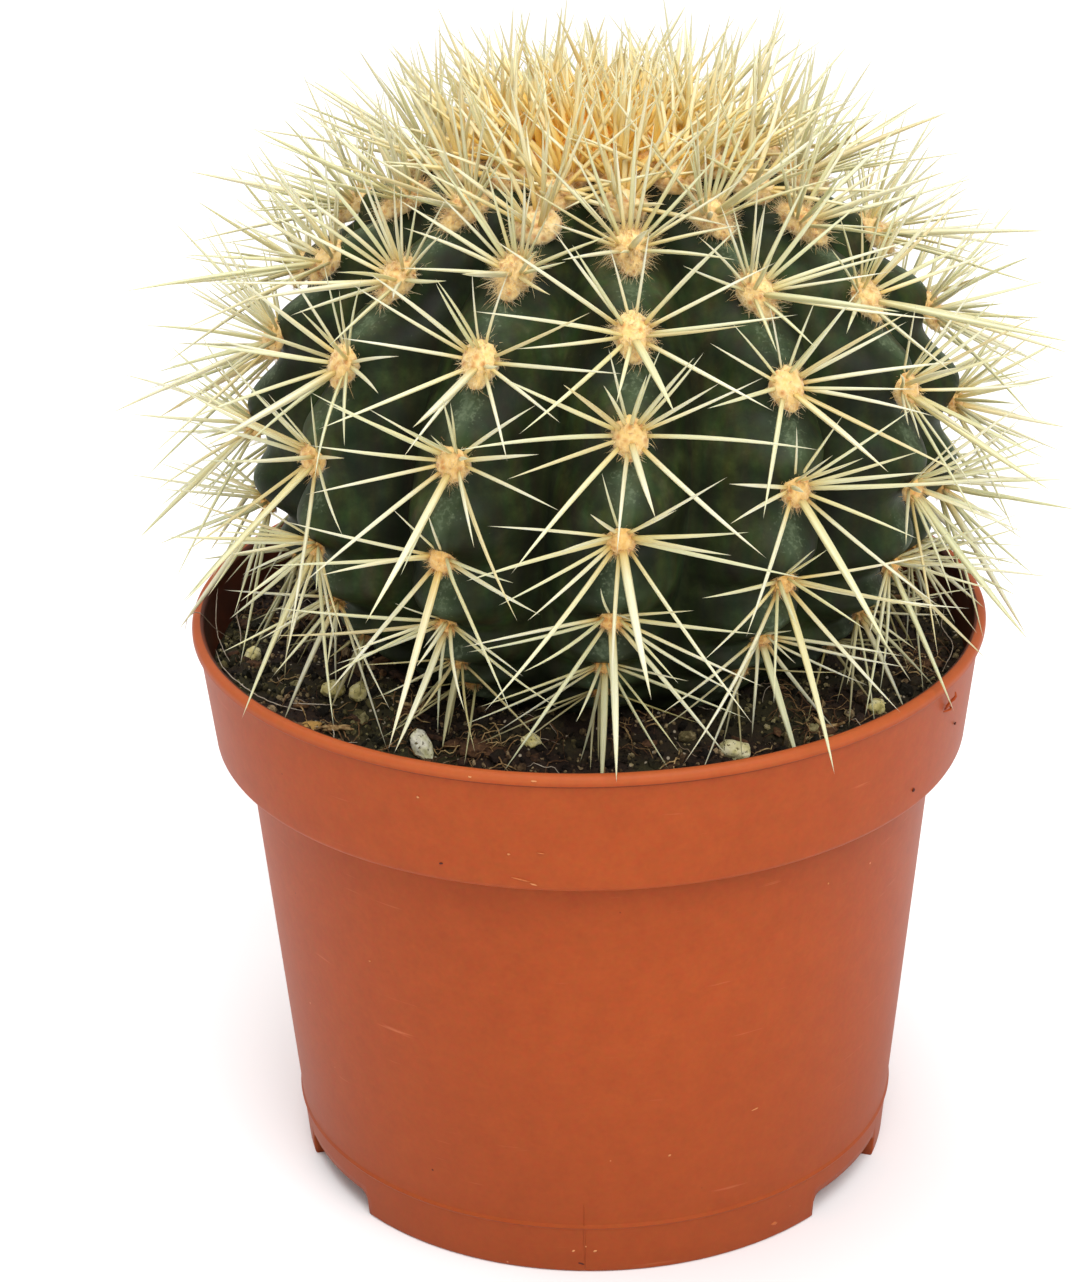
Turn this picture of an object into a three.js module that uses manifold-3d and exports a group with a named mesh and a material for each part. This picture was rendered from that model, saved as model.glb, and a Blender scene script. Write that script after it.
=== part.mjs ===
// A round ribbed cactus in a plastic nursery pot with a 120 mm rim.
// Millimetres, +Z up. The origin is the centre of the pot's foot circle, on the surface it stands on.

import * as THREE from 'three';
import { mergeVertices } from 'three/addons/utils/BufferGeometryUtils.js';
import Module from 'manifold-3d';

const wasm = await Module();
wasm.setup();

// ---- Driving dimensions ----

const GAP = 0.3; // clearance between pieces that touch
const ROUND_SIDES = 48; // sides of every turned shape

// Pot
const POT_HEIGHT = 90;
const RIM_RADIUS = 60;
const LIP_HEIGHT = 1.6; // the bead round the rim
const LIP_THICKNESS = 1.9;
const COLLAR_HEIGHT = 19.4;
const COLLAR_TOP_RADIUS = 59.4;
const COLLAR_FOOT_RADIUS = 57.1;
const BODY_TOP_RADIUS = 52.7;
const BODY_FOOT_RADIUS = 46.3;
const WALL = 1.2;
const PARTING_LINE_Z = 8.5;
const PARTING_LINE_HEIGHT = 1.2;
const PARTING_LINE_PROUD = 0.35;
const FLOOR_UNDERSIDE_Z = 4.6;
const FLOOR_THICKNESS = 1.5;
const FOOT_RING_THICKNESS = 2.7;
const NOTCH_COUNT = 3;
const NOTCH_WIDTH = 20;
const NOTCH_HEIGHT = 4.2;
const NOTCH_CORNER = 1.6;
const FIRST_NOTCH_AZIMUTH = 58.2;
const DRAIN_HOLE_RADIUS = 5;
const DRAIN_HOLE_CIRCLE = 26;

// Soil
const SOIL_EDGE_Z = 82;
const SOIL_SHOULDER_Z = 82.8;
const SOIL_SHOULDER_RADIUS = 46;
const SOIL_STEM_Z = 85.6;
const SOIL_STEM_RADIUS = 33;

// Cactus stem: an upright ellipsoid whose surface passes through the areoles' seats
const STEM_X = 2.5; // the plant stands this far off the pot's axis
const STEM_CENTRE_Z = 119.7;
const STEM_RADIUS = 51;
const STEM_HALF_HEIGHT = 42.3;
const STEM_TOP_LATITUDE = 69.4; // the flat seat of the crown
const STEM_FOOT_LATITUDE = -56;
const NECK_ROWS = [[20, 79], [11, 75], [7, 62]]; // radius and height of the buried foot
const COLUMNS_PER_RIB = 4;
const RIB_DEPTH = 0.175; // of the radius, at the widest place
const RIB_TWIST = 5.3; // degrees of azimuth for each radian of latitude
const FIRST_RIB_AZIMUTH = 2;
const SWELLING = 1.4; // each rib swells and pinches by this much between areoles
const SWELLING_FADE = [18, 32]; // from the small radius, where there is none, to the full swelling

// Areoles and spines
const AREOLE_SPACING = 13.9;
const AREOLE_CROWDING = 0.19; // millimetres less for each degree below the widest place
const AREOLES_PER_RIB = 7;
const TOP_AREOLE_LATITUDES = [55.4, 60.1, 52.7, 57.5, 49, 62, 54, 58.5, 50.5, 61, 56.7, 60.6, 49.8];
const NEIGHBOURS = [[-1, 0], [-1, 1], [0, 1], [1, 1], [1, 0], [1, -1], [0, -1], [-1, -1]];
const BROW_RADIUS = 2.1; // the bud is widest where it leaves the skin
const BROW_HEIGHT = 0.3;
const BUD_ROOM = 0.7; // a crowded bud fills this share of the way to its nearest neighbour
const BUD_TOP_SHARE = 0.55; // of the brow's radius
const BUD_TOP_HEIGHT = 1.8;
const RADIAL_SPINE_LENGTH = 16.5;
const RADIAL_SPINE_CHANGE = 4; // shorter towards the crown, longer towards the soil
const RADIAL_SPINE_SPREAD = 0.12; // of the length
const RADIAL_SPINE_LIFT = 27; // degrees off the skin
const RADIAL_LIFT_CHANGE = 9;
const CROWN_LIFT = 24; // more upright spines near the crown
const CENTRAL_SPINE_LENGTH = 26;
const CENTRAL_SPINE_LIFT = 48;
const CENTRAL_CROWN_LIFT = 80;
const STUB_LENGTH = 1.5;

// How a spine finds its way between the others
const SPINE_JITTER = 8; // degrees
const SPINE_ATTEMPTS = 40;
const STEEPEST_LIFT = 84; // the last attempt stands this steep, in degrees
const SHORTEST_SHARE = 0.5; // and has this share of the length
const SPINE_STEPS = 14; // points along a spine where its way is tested
const FIRST_STEP = 3; // the first of them that lies outside its own bud
const FREE_STEP = 6; // the first that is also clear of the bud's other spines
const SPINE_CLEARANCE = 1.6;
const SIBLING_CLEARANCE = 0.4; // between a radial spine's tip and the central spine's cone
const BUD_CLEARANCE = 3.4;
const SKIN_CLEARANCE = 1.7;
const SOIL_CLEARANCE = 1.5;
const RIM_CLEARANCE = 4; // across the rim's edge
const RIM_CLEARANCE_ABOVE = 1.2;
const GRAIN_CLEARANCE = 1.2;
const TUFT_CLEARANCE = 1.6;
const TUFT_SLOPE = 0.95; // the stem's spines stay outside this funnel round the crown's tuft
const TUFT_FUNNEL_FOOT = -3; // the funnel starts this far below the crown's seat
const REACH_RADIUS = 71; // no spine tip lies outside this circle
const TOP_Z = 178;

// Crown
const CROWN_RADIUS = 17.2;
const CROWN_RIM = 1.2;
const CROWN_DOME = 4.8;
const CROWN_RINGS = 10;
const CROWN_MIDDLE_SPINE = 11.5; // spines are longer towards the crown's edge
const CROWN_EDGE_SPINE = 19;
const CROWN_SPINE_SPREAD = 0.25; // of the length
const CROWN_LEAN = 0.78; // how far the edge spines lean out, against the upright
const CROWN_TANGLE = 0.1; // how far the middle spines lean at random

// Pumice grains: place on the soil, longest radius and the turn about the upright
const GRAINS = [
  { x: -37.8, y: -17.5, radius: 1.9, turn: 20 },
  { x: -33.8, y: -20.3, radius: 2, turn: 75 },
  { x: -24, y: -36.5, radius: 2.9, turn: 60 },
  { x: 20.4, y: -39, radius: 2.5, turn: -15 },
  { x: -40.5, y: -28.6, radius: 1.6, turn: 10 },
  { x: 41.8, y: -24.4, radius: 1.8, turn: 45 },
  { x: -8.6, y: -37.8, radius: 1.6, turn: 0 },
  { x: -51, y: -2.5, radius: 1.7, turn: 80 },
  { x: 12, y: 45, radius: 2.1, turn: 30 },
  { x: -33, y: 38, radius: 2, turn: -40 },
];
const GRAIN_WIDTH = 0.8; // width and height of a grain, as shares of its length
const GRAIN_FLATNESS = 0.72;
const GRAIN_SINK = 0.35; // of its radius
const GRAIN_ROUGHNESS = 0.14; // how far its corners draw in at random, as a share of its radius

const MATERIALS = {
  pot_plastic: { color: 0xb8532c, roughness: 0.5, metalness: 0 },
  soil_peat: { color: 0x2b1d14, roughness: 0.95, metalness: 0 },
  stem_skin: { color: 0x2e3b2a, roughness: 0.55, metalness: 0 },
  crown_straw: { color: 0xe6c878, roughness: 0.7, metalness: 0 },
  pumice: { color: 0xc9c58e, roughness: 0.9, metalness: 0 },
};

// ---- Helpers ----

const rad = THREE.MathUtils.degToRad;
const { lerp, smoothstep } = THREE.MathUtils;
const UP = new THREE.Vector3(0, 0, 1);

// Azimuth 0 faces -Y and grows towards +X.
function outward(azimuth) {
  return new THREE.Vector3(Math.sin(rad(azimuth)), -Math.cos(rad(azimuth)), 0);
}

function seededRandom(seed) {
  let state = seed;
  return () => {
    state = (state * 1664525 + 1013904223) % 4294967296;
    return state / 4294967296;
  };
}

// A number between -1 and 1.
function spread(random) {
  return 2 * random() - 1;
}

function geometryOf(points, triangles) {
  const geometry = new THREE.BufferGeometry();
  geometry.setAttribute(
    'position',
    new THREE.Float32BufferAttribute(points.flatMap((p) => [p.x, p.y, p.z]), 3),
  );
  geometry.setIndex(triangles.flat());
  return geometry;
}

function solidOf(geometry) {
  const bare = geometry.clone();
  bare.deleteAttribute('normal');
  bare.deleteAttribute('uv');
  const merged = mergeVertices(bare, 1e-4);
  return new wasm.Manifold(new wasm.Mesh({
    numProp: 3,
    vertProperties: merged.attributes.position.array,
    triVerts: new Uint32Array(merged.index.array),
  }));
}

function geometryFromSolid(solid) {
  const mesh = solid.getMesh();
  const geometry = new THREE.BufferGeometry();
  geometry.setAttribute('position', new THREE.BufferAttribute(mesh.vertProperties, 3));
  geometry.setIndex(new THREE.BufferAttribute(mesh.triVerts, 1));
  geometry.computeVertexNormals();
  return geometry;
}

// A shape turned about the upright, from [radius, height] points that run down its outside.
function turned(outline, sides = ROUND_SIDES) {
  const points = outline.map(([radius, z]) => new THREE.Vector2(radius, z));
  return new THREE.LatheGeometry(points.reverse(), sides).rotateX(Math.PI / 2);
}

// ---- Pot ----

const collarFootZ = POT_HEIGHT - COLLAR_HEIGHT;
const floorTopZ = FLOOR_UNDERSIDE_Z + FLOOR_THICKNESS;

// Outer radius of the tapering body at a height.
function potBodyRadius(z) {
  return lerp(BODY_FOOT_RADIUS, BODY_TOP_RADIUS, z / collarFootZ);
}

// The inside of the wall, from the floor to the rim, as [radius, height].
const potInside = [
  [potBodyRadius(floorTopZ) - WALL, floorTopZ],
  [BODY_TOP_RADIUS - WALL, collarFootZ + WALL / 2],
  [COLLAR_FOOT_RADIUS - WALL, collarFootZ + 1.5 * WALL],
  [COLLAR_TOP_RADIUS - WALL, POT_HEIGHT - LIP_HEIGHT],
];

function potShell() {
  const footInner = BODY_FOOT_RADIUS - FOOT_RING_THICKNESS;
  const outside = [
    [RIM_RADIUS - LIP_THICKNESS, POT_HEIGHT],
    [RIM_RADIUS - 0.4, POT_HEIGHT],
    [RIM_RADIUS, POT_HEIGHT - 0.4],
    [RIM_RADIUS, POT_HEIGHT - LIP_HEIGHT],
    [COLLAR_TOP_RADIUS, POT_HEIGHT - LIP_HEIGHT - 0.3],
    [COLLAR_FOOT_RADIUS, collarFootZ + 0.5],
    [COLLAR_FOOT_RADIUS - 0.5, collarFootZ],
    [BODY_TOP_RADIUS, collarFootZ],
    [potBodyRadius(PARTING_LINE_Z + PARTING_LINE_HEIGHT), PARTING_LINE_Z + PARTING_LINE_HEIGHT],
    [potBodyRadius(PARTING_LINE_Z) + PARTING_LINE_PROUD, PARTING_LINE_Z],
    [potBodyRadius(PARTING_LINE_Z), PARTING_LINE_Z - PARTING_LINE_PROUD],
    [BODY_FOOT_RADIUS, 0],
    [footInner, 0],
    [footInner, FLOOR_UNDERSIDE_Z],
    [0, FLOOR_UNDERSIDE_Z],
  ];
  return solidOf(turned([[0, floorTopZ], ...potInside, ...outside]));
}

// A radial cutter for one notch, with rounded upper corners.
function footNotch(azimuth) {
  const half = NOTCH_WIDTH / 2;
  const shape = new THREE.Shape();
  shape.moveTo(-half, -1);
  shape.lineTo(half, -1);
  shape.lineTo(half, NOTCH_HEIGHT - NOTCH_CORNER);
  shape.absarc(half - NOTCH_CORNER, NOTCH_HEIGHT - NOTCH_CORNER, NOTCH_CORNER, 0, Math.PI / 2);
  shape.absarc(
    NOTCH_CORNER - half, NOTCH_HEIGHT - NOTCH_CORNER, NOTCH_CORNER, Math.PI / 2, Math.PI,
  );
  shape.closePath();
  const length = 2 * FOOT_RING_THICKNESS + 4;
  const cutter = new THREE.ExtrudeGeometry(
    shape, { depth: length, bevelEnabled: false, curveSegments: 3 },
  );
  cutter.rotateX(Math.PI / 2);
  cutter.translate(0, -(BODY_FOOT_RADIUS - FOOT_RING_THICKNESS - 2), 0);
  return solidOf(cutter.rotateZ(rad(azimuth)));
}

function drainHole(azimuth) {
  const hole = new THREE.CylinderGeometry(DRAIN_HOLE_RADIUS, DRAIN_HOLE_RADIUS, 10, 16);
  hole.rotateX(Math.PI / 2);
  const place = outward(azimuth).multiplyScalar(DRAIN_HOLE_CIRCLE);
  return solidOf(hole.translate(place.x, place.y, FLOOR_UNDERSIDE_Z));
}

function pot() {
  let shell = potShell();
  for (let i = 0; i < NOTCH_COUNT; i++) {
    const azimuth = FIRST_NOTCH_AZIMUTH + (i * 360) / NOTCH_COUNT;
    shell = shell.subtract(footNotch(azimuth)).subtract(drainHole(azimuth));
  }
  return shell;
}

// ---- Cactus stem ----

function stemRadius(latitude) {
  return STEM_RADIUS * Math.cos(rad(latitude));
}

function stemHeight(latitude) {
  return STEM_CENTRE_Z + STEM_HALF_HEIGHT * Math.sin(rad(latitude));
}

// Millimetres along the skin for each degree of latitude.
function arcRate(latitude) {
  const across = STEM_RADIUS * Math.sin(rad(latitude));
  const along = STEM_HALF_HEIGHT * Math.cos(rad(latitude));
  return rad(Math.hypot(across, along));
}

function areoleSpacing(latitude) {
  return AREOLE_SPACING - AREOLE_CROWDING * Math.max(0, -latitude);
}

// Latitudes of one rib's areoles, from the crown down to the soil.
function areoleLatitudes(topLatitude) {
  const latitudes = [topLatitude];
  while (latitudes.length < AREOLES_PER_RIB) {
    const latitude = latitudes[latitudes.length - 1];
    const halfway = latitude - areoleSpacing(latitude) / arcRate(latitude) / 2;
    latitudes.push(latitude - areoleSpacing(halfway) / arcRate(halfway));
  }
  return latitudes;
}

// The skin is a net of points, and each rib's rows are spaced so that one falls on every areole. A
// row holds its latitude, how far the crest swells there, and whether an areole sits on it.
function ribRows(latitudes) {
  const rows = [{ latitude: STEM_TOP_LATITUDE, swell: 0 }];
  rows.push({ latitude: (STEM_TOP_LATITUDE + latitudes[0]) / 2, swell: SWELLING });
  latitudes.forEach((latitude, i) => {
    rows.push({ latitude, swell: 0, areole: true });
    if (i < latitudes.length - 1) {
      rows.push({ latitude: lerp(latitude, latitudes[i + 1], 1 / 3), swell: -SWELLING });
      rows.push({ latitude: lerp(latitude, latitudes[i + 1], 2 / 3), swell: SWELLING });
    }
  });
  const lowest = latitudes[latitudes.length - 1];
  rows.push({ latitude: (lowest + STEM_FOOT_LATITUDE) / 2, swell: 0 });
  rows.push({ latitude: STEM_FOOT_LATITUDE, swell: 0 });
  return rows;
}

const ribs = TOP_AREOLE_LATITUDES.map((topLatitude, i) => ({
  azimuth: FIRST_RIB_AZIMUTH + (i * 360) / TOP_AREOLE_LATITUDES.length,
  rows: ribRows(areoleLatitudes(topLatitude)),
}));

function twist(latitude) {
  return RIB_TWIST * rad(latitude);
}

// Ribs are deepest, for their radius, round the crown, and fade out where the stem meets the soil.
function ribDepth(latitude) {
  const crownShare = 1 + 0.35 * smoothstep(latitude, 30, 70);
  const soilFade = smoothstep(latitude, STEM_FOOT_LATITUDE, -20);
  return RIB_DEPTH * crownShare * soilFade;
}

function fromStemAxis(azimuth, radius, z) {
  return outward(azimuth).multiplyScalar(radius).add(new THREE.Vector3(STEM_X, 0, z));
}

// A point of the skin: share runs from 0 on one rib's crest to 1 on the next one's.
function stemPoint(row, ribIndex, share) {
  const [rib, nextRib] = [ribs[ribIndex], ribs[(ribIndex + 1) % ribs.length]];
  const latitude = lerp(rib.rows[row].latitude, nextRib.rows[row].latitude, share);
  const furrow = 1 - Math.abs(Math.cos(Math.PI * share));
  const radius = stemRadius(latitude) * (1 - ribDepth(latitude) * furrow)
    + rib.rows[row].swell * (1 - furrow) * smoothstep(stemRadius(latitude), ...SWELLING_FADE);
  const azimuth = rib.azimuth + (share * 360) / ribs.length + twist(latitude);
  return fromStemAxis(azimuth, radius, stemHeight(latitude));
}

// ---- Where spines may go ----

const spines = []; // every spine placed so far, as { line, seat }
const seats = ribs.flatMap((rib) => rib.rows.filter((row) => row.areole).map(
  (row) => areoleSeat(rib, row.latitude),
));

function soilTop(radius) {
  return lerp(
    SOIL_STEM_Z, SOIL_SHOULDER_Z, smoothstep(radius, SOIL_STEM_RADIUS, SOIL_SHOULDER_RADIUS),
  );
}

function grainCentre({ x, y, radius }) {
  const z = soilTop(Math.hypot(x, y)) + radius * GRAIN_FLATNESS * (1 - 2 * GRAIN_SINK);
  return new THREE.Vector3(x, y, z);
}

// True where a point is clear of the skin, the crown's tuft, the soil, the grains and the rim.
function isOpen(point) {
  const fromStem = Math.hypot(point.x - STEM_X, point.y);
  const fromPot = Math.hypot(point.x, point.y);
  const tuftZ = point.z - stemHeight(STEM_TOP_LATITUDE);
  const skinShare = Math.hypot(
    fromStem / (STEM_RADIUS + SKIN_CLEARANCE),
    (point.z - STEM_CENTRE_Z) / (STEM_HALF_HEIGHT + SKIN_CLEARANCE),
  );
  const outsideTuft = tuftZ < TUFT_FUNNEL_FOOT
    || fromStem > CROWN_RADIUS + TUFT_CLEARANCE + TUFT_SLOPE * tuftZ;
  const aboveSoil = fromPot > RIM_RADIUS + SOIL_CLEARANCE
    || point.z > soilTop(fromPot) + SOIL_CLEARANCE;
  const clearOfRim = Math.abs(fromPot - RIM_RADIUS) > RIM_CLEARANCE
    || point.z > POT_HEIGHT + RIM_CLEARANCE_ABOVE;
  return skinShare > 1 && outsideTuft && aboveSoil && clearOfRim && GRAINS.every(
    (grain) => grainCentre(grain).distanceTo(point) > grain.radius + GRAIN_CLEARANCE,
  );
}

// True where a point keeps clear of other spines and of the buds of other areoles. Spines of one
// areole may touch near their roots.
function passesOthers(point, seat, isNearRoot) {
  const nearest = new THREE.Vector3();
  const clearOfSpines = spines.every((spine) => (isNearRoot && spine.seat === seat)
    || spine.line.closestPointToPoint(point, true, nearest).distanceTo(point) > SPINE_CLEARANCE);
  return clearOfSpines && seats.every((other) => other === seat
    || other.place.distanceTo(point) > BUD_CLEARANCE);
}

function isFree(line, seat) {
  const point = new THREE.Vector3();
  for (let step = FIRST_STEP; step <= SPINE_STEPS; step++) {
    line.at(step / SPINE_STEPS, point);
    if (!isOpen(point) || !passesOthers(point, seat, step < FREE_STEP)) {
      return false;
    }
  }
  return true;
}

// Shortens a spine so that its tip stays inside the object's outer circle and height.
function withinReach(root, tip) {
  let share = 1;
  const at = (t) => root.clone().lerp(tip, t);
  while (Math.hypot(at(share).x, at(share).y) > REACH_RADIUS || at(share).z > TOP_Z) {
    share -= 0.01;
  }
  return at(share);
}

// The tip of one spine. Each attempt stands a little steeper and shorter than the last, until one
// runs free. A spine that finds no room at all stays a stub.
function spineTip(seat, root, angle, lift, length, random, isAllowed = () => true) {
  for (let attempt = 0; attempt < SPINE_ATTEMPTS; attempt++) {
    const share = attempt / SPINE_ATTEMPTS;
    const direction = spineDirection(
      seat,
      angle + SPINE_JITTER * spread(random),
      lerp(lift, STEEPEST_LIFT, share) + (SPINE_JITTER / 2) * spread(random),
    );
    const reach = length * lerp(1, SHORTEST_SHARE, share);
    const tip = withinReach(root, root.clone().addScaledVector(direction, reach));
    const line = new THREE.Line3(root, tip);
    if (isAllowed(tip) && isFree(line, seat)) {
      spines.push({ line, seat });
      return tip;
    }
  }
  return root.clone().addScaledVector(spineDirection(seat, angle, lift), STUB_LENGTH);
}

// ---- Areoles with their spines ----

// The seat of an areole, with the skin's normal, the way up the rib and the way across it.
function areoleSeat(rib, latitude) {
  const azimuth = rib.azimuth + twist(latitude);
  const away = outward(azimuth);
  const across = Math.cos(rad(latitude)) * STEM_HALF_HEIGHT;
  const along = Math.sin(rad(latitude)) * STEM_RADIUS;
  const normal = away.clone().multiplyScalar(across).addScaledVector(UP, along).normalize();
  const sideways = new THREE.Vector3().crossVectors(UP, away).normalize();
  const upRib = new THREE.Vector3().crossVectors(normal, sideways).normalize();
  const place = fromStemAxis(azimuth, stemRadius(latitude), stemHeight(latitude));
  return { latitude, place, normal, sideways, upRib };
}

// A point of the areole: an angle from the way up the rib, a radius, and a height above the skin.
function onAreole(seat, angle, radius, height) {
  return seat.place.clone()
    .addScaledVector(seat.upRib, radius * Math.cos(rad(angle)))
    .addScaledVector(seat.sideways, radius * Math.sin(rad(angle)))
    .addScaledVector(seat.normal, height);
}

function spineDirection(seat, angle, lift) {
  const flat = seat.upRib.clone().multiplyScalar(Math.cos(rad(angle)));
  flat.addScaledVector(seat.sideways, Math.sin(rad(angle)));
  return flat.multiplyScalar(Math.cos(rad(lift))).addScaledVector(seat.normal, Math.sin(rad(lift)));
}

// Adds a small eight-sided bud inside the eight points of the net round it. Each side of the bud is
// drawn out into a radial spine, and its top into the stout central spine, which hangs down the rib.
function addAreole(seat, around, points, triangles, random) {
  const crownShare = smoothstep(seat.latitude, 35, 64);
  const corner = 360 / around.length;
  const room = Math.min(...around.map((i) => points[i].distanceTo(seat.place)));
  const browRadius = Math.min(BROW_RADIUS, BUD_ROOM * room);
  const topRadius = BUD_TOP_SHARE * browRadius;
  const brow = points.length;
  const top = brow + around.length;
  around.forEach((_, i) => points.push(onAreole(seat, i * corner, browRadius, BROW_HEIGHT)));
  around.forEach((_, i) => points.push(onAreole(seat, i * corner, topRadius, BUD_TOP_HEIGHT)));

  const centralTip = points.push(spineTip(
    seat,
    onAreole(seat, 0, 0, BUD_TOP_HEIGHT),
    180,
    lerp(CENTRAL_SPINE_LIFT, CENTRAL_CROWN_LIFT, crownShare),
    lerp(CENTRAL_SPINE_LENGTH, RADIAL_SPINE_LENGTH, crownShare),
    random,
  )) - 1;
  around.forEach((outer, i) => {
    const next = (i + 1) % around.length;
    const towardsCrown = Math.cos(rad((i + 0.5) * corner));
    const length = (RADIAL_SPINE_LENGTH - RADIAL_SPINE_CHANGE * towardsCrown)
      * (1 + RADIAL_SPINE_SPREAD * spread(random));
    const centralSide = new THREE.Plane().setFromCoplanarPoints(
      points[top + next], points[top + i], points[centralTip],
    );
    const tip = points.push(spineTip(
      seat,
      onAreole(seat, (i + 0.5) * corner, topRadius, BUD_TOP_HEIGHT / 2),
      (i + 0.5) * corner,
      RADIAL_SPINE_LIFT + RADIAL_LIFT_CHANGE * towardsCrown + CROWN_LIFT * crownShare,
      length,
      random,
      (place) => centralSide.distanceToPoint(place) > SIBLING_CLEARANCE,
    )) - 1;
    triangles.push([outer, brow + i, brow + next], [outer, brow + next, around[next]]);
    triangles.push([brow + i, top + i, tip], [top + i, top + next, tip]);
    triangles.push([top + next, brow + next, tip], [brow + next, brow + i, tip]);
    triangles.push([top + next, top + i, centralTip]);
  });
}

// The ribbed globe with its areoles, and its buried foot, as one closed net from the crown's seat
// down to the root neck.
function cactus() {
  const random = seededRandom(7);
  const columns = ribs.length * COLUMNS_PER_RIB;
  const skinRows = ribs[0].rows.length;
  const points = [];
  for (let row = 0; row < skinRows; row++) {
    for (let column = 0; column < columns; column++) {
      const share = (column % COLUMNS_PER_RIB) / COLUMNS_PER_RIB;
      points.push(stemPoint(row, Math.floor(column / COLUMNS_PER_RIB), share));
    }
  }
  for (const [radius, z] of NECK_ROWS) {
    for (let column = 0; column < columns; column++) {
      const azimuth = FIRST_RIB_AZIMUTH + (column * 360) / columns + twist(STEM_FOOT_LATITUDE);
      points.push(fromStemAxis(azimuth, radius, z));
    }
  }

  const index = (row, column) => row * columns + ((column + columns) % columns);
  const isAreole = (row, column) => row < skinRows
    && ribs[0].rows[row].areole && ((column + columns) % columns) % COLUMNS_PER_RIB === 0;
  const triangles = [];
  const rows = skinRows + NECK_ROWS.length;
  for (let row = 0; row < rows - 1; row++) {
    for (let column = 0; column < columns; column++) {
      const corners = [[row, column], [row + 1, column], [row + 1, column + 1], [row, column + 1]];
      if (!corners.some(([r, c]) => isAreole(r, c))) {
        const [a, b, c, d] = corners.map(([r, k]) => index(r, k));
        triangles.push([a, b, c], [a, c, d]);
      }
    }
  }
  let nextSeat = 0;
  for (let rib = 0; rib < ribs.length; rib++) {
    const column = rib * COLUMNS_PER_RIB;
    for (let row = 0; row < skinRows; row++) {
      if (ribs[rib].rows[row].areole) {
        const around = NEIGHBOURS.map(([down, across]) => index(row + down, column + across));
        addAreole(seats[nextSeat], around, points, triangles, random);
        nextSeat++;
      }
    }
  }
  const last = (rows - 1) * columns;
  const top = points.push(fromStemAxis(0, 0, points[0].z)) - 1;
  const foot = points.push(fromStemAxis(0, 0, points[last].z)) - 1;
  for (let column = 0; column < columns; column++) {
    const next = (column + 1) % columns;
    triangles.push([top, column, next], [foot, last + next, last + column]);
  }
  return geometryOf(points, triangles);
}

// ---- Crown ----

// A low woolly dome on the stem's flat seat. Its upper face is a net of rings of triangles, and
// every triangle that points inwards is drawn out into one young spine.
function crown() {
  const random = seededRandom(11);
  const baseZ = stemHeight(STEM_TOP_LATITUDE) + GAP;
  const domePoint = (ring, step) => {
    const share = ring / CROWN_RINGS;
    const angle = ring === 0 ? 0 : (step * 60) / ring;
    const z = baseZ + CROWN_RIM + CROWN_DOME * (1 - share * share);
    return outward(angle).multiplyScalar(CROWN_RADIUS * share).add(new THREE.Vector3(STEM_X, 0, z));
  };
  const points = [domePoint(0, 0)];
  const ringStart = [0];
  for (let ring = 1; ring <= CROWN_RINGS; ring++) {
    ringStart.push(points.length);
    for (let step = 0; step < 6 * ring; step++) {
      points.push(domePoint(ring, step));
    }
  }
  const at = (ring, step) => (ring === 0 ? 0 : ringStart[ring] + (step % (6 * ring)));

  const triangles = [];
  const spineOn = (a, b, c) => {
    const root = points[a].clone().add(points[b]).add(points[c]).divideScalar(3);
    const flat = new THREE.Vector3(root.x - STEM_X, root.y, 0).divideScalar(CROWN_RADIUS);
    const edgeShare = flat.length();
    const direction = flat.multiplyScalar(CROWN_LEAN).add(UP);
    direction.x += CROWN_TANGLE * spread(random) * (1 - edgeShare);
    direction.y += CROWN_TANGLE * spread(random) * (1 - edgeShare);
    direction.normalize();
    const length = lerp(CROWN_MIDDLE_SPINE, CROWN_EDGE_SPINE, edgeShare)
      * (1 + CROWN_SPINE_SPREAD * spread(random));
    const tip = points.push(withinReach(root, root.clone().addScaledVector(direction, length))) - 1;
    triangles.push([a, b, tip], [b, c, tip], [c, a, tip]);
  };
  for (let ring = 1; ring <= CROWN_RINGS; ring++) {
    for (let side = 0; side < 6; side++) {
      for (let i = 0; i < ring; i++) {
        const inner = at(ring - 1, side * (ring - 1) + i);
        spineOn(inner, at(ring, side * ring + i), at(ring, side * ring + i + 1));
        if (i < ring - 1) {
          const nextInner = at(ring - 1, side * (ring - 1) + i + 1);
          triangles.push([inner, at(ring, side * ring + i + 1), nextInner]);
        }
      }
    }
  }

  const count = 6 * CROWN_RINGS;
  const rim = ringStart[CROWN_RINGS];
  const foot = points.length;
  for (let step = 0; step < count; step++) {
    points.push(points[rim + step].clone().setZ(baseZ));
  }
  for (let step = 0; step < count; step++) {
    const next = (step + 1) % count;
    triangles.push([rim + step, foot + step, foot + next], [rim + step, foot + next, rim + next]);
    if (step > 0 && step < count - 1) {
      triangles.push([foot, foot + next, foot + step]);
    }
  }
  return geometryOf(points, triangles);
}

// ---- Soil and grains ----

// A plain hole that follows the buried foot of the stem at the working clearance.
function stemHole() {
  const globe = [];
  for (let latitude = STEM_FOOT_LATITUDE; latitude <= STEM_FOOT_LATITUDE + 15; latitude += 5) {
    globe.push([stemRadius(latitude) + 2 * GAP, stemHeight(latitude)]);
  }
  const neck = NECK_ROWS.map(([radius, z]) => [radius + 2 * GAP, z - GAP]).reverse();
  const [lowestRadius, lowestZ] = neck[0];
  const outline = [[0, lowestZ - GAP], [lowestRadius, lowestZ - GAP], ...neck, ...globe];
  const topZ = globe[globe.length - 1][1];
  return solidOf(turned([...outline, [0, topZ]].reverse()).translate(STEM_X, 0, 0));
}

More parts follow.
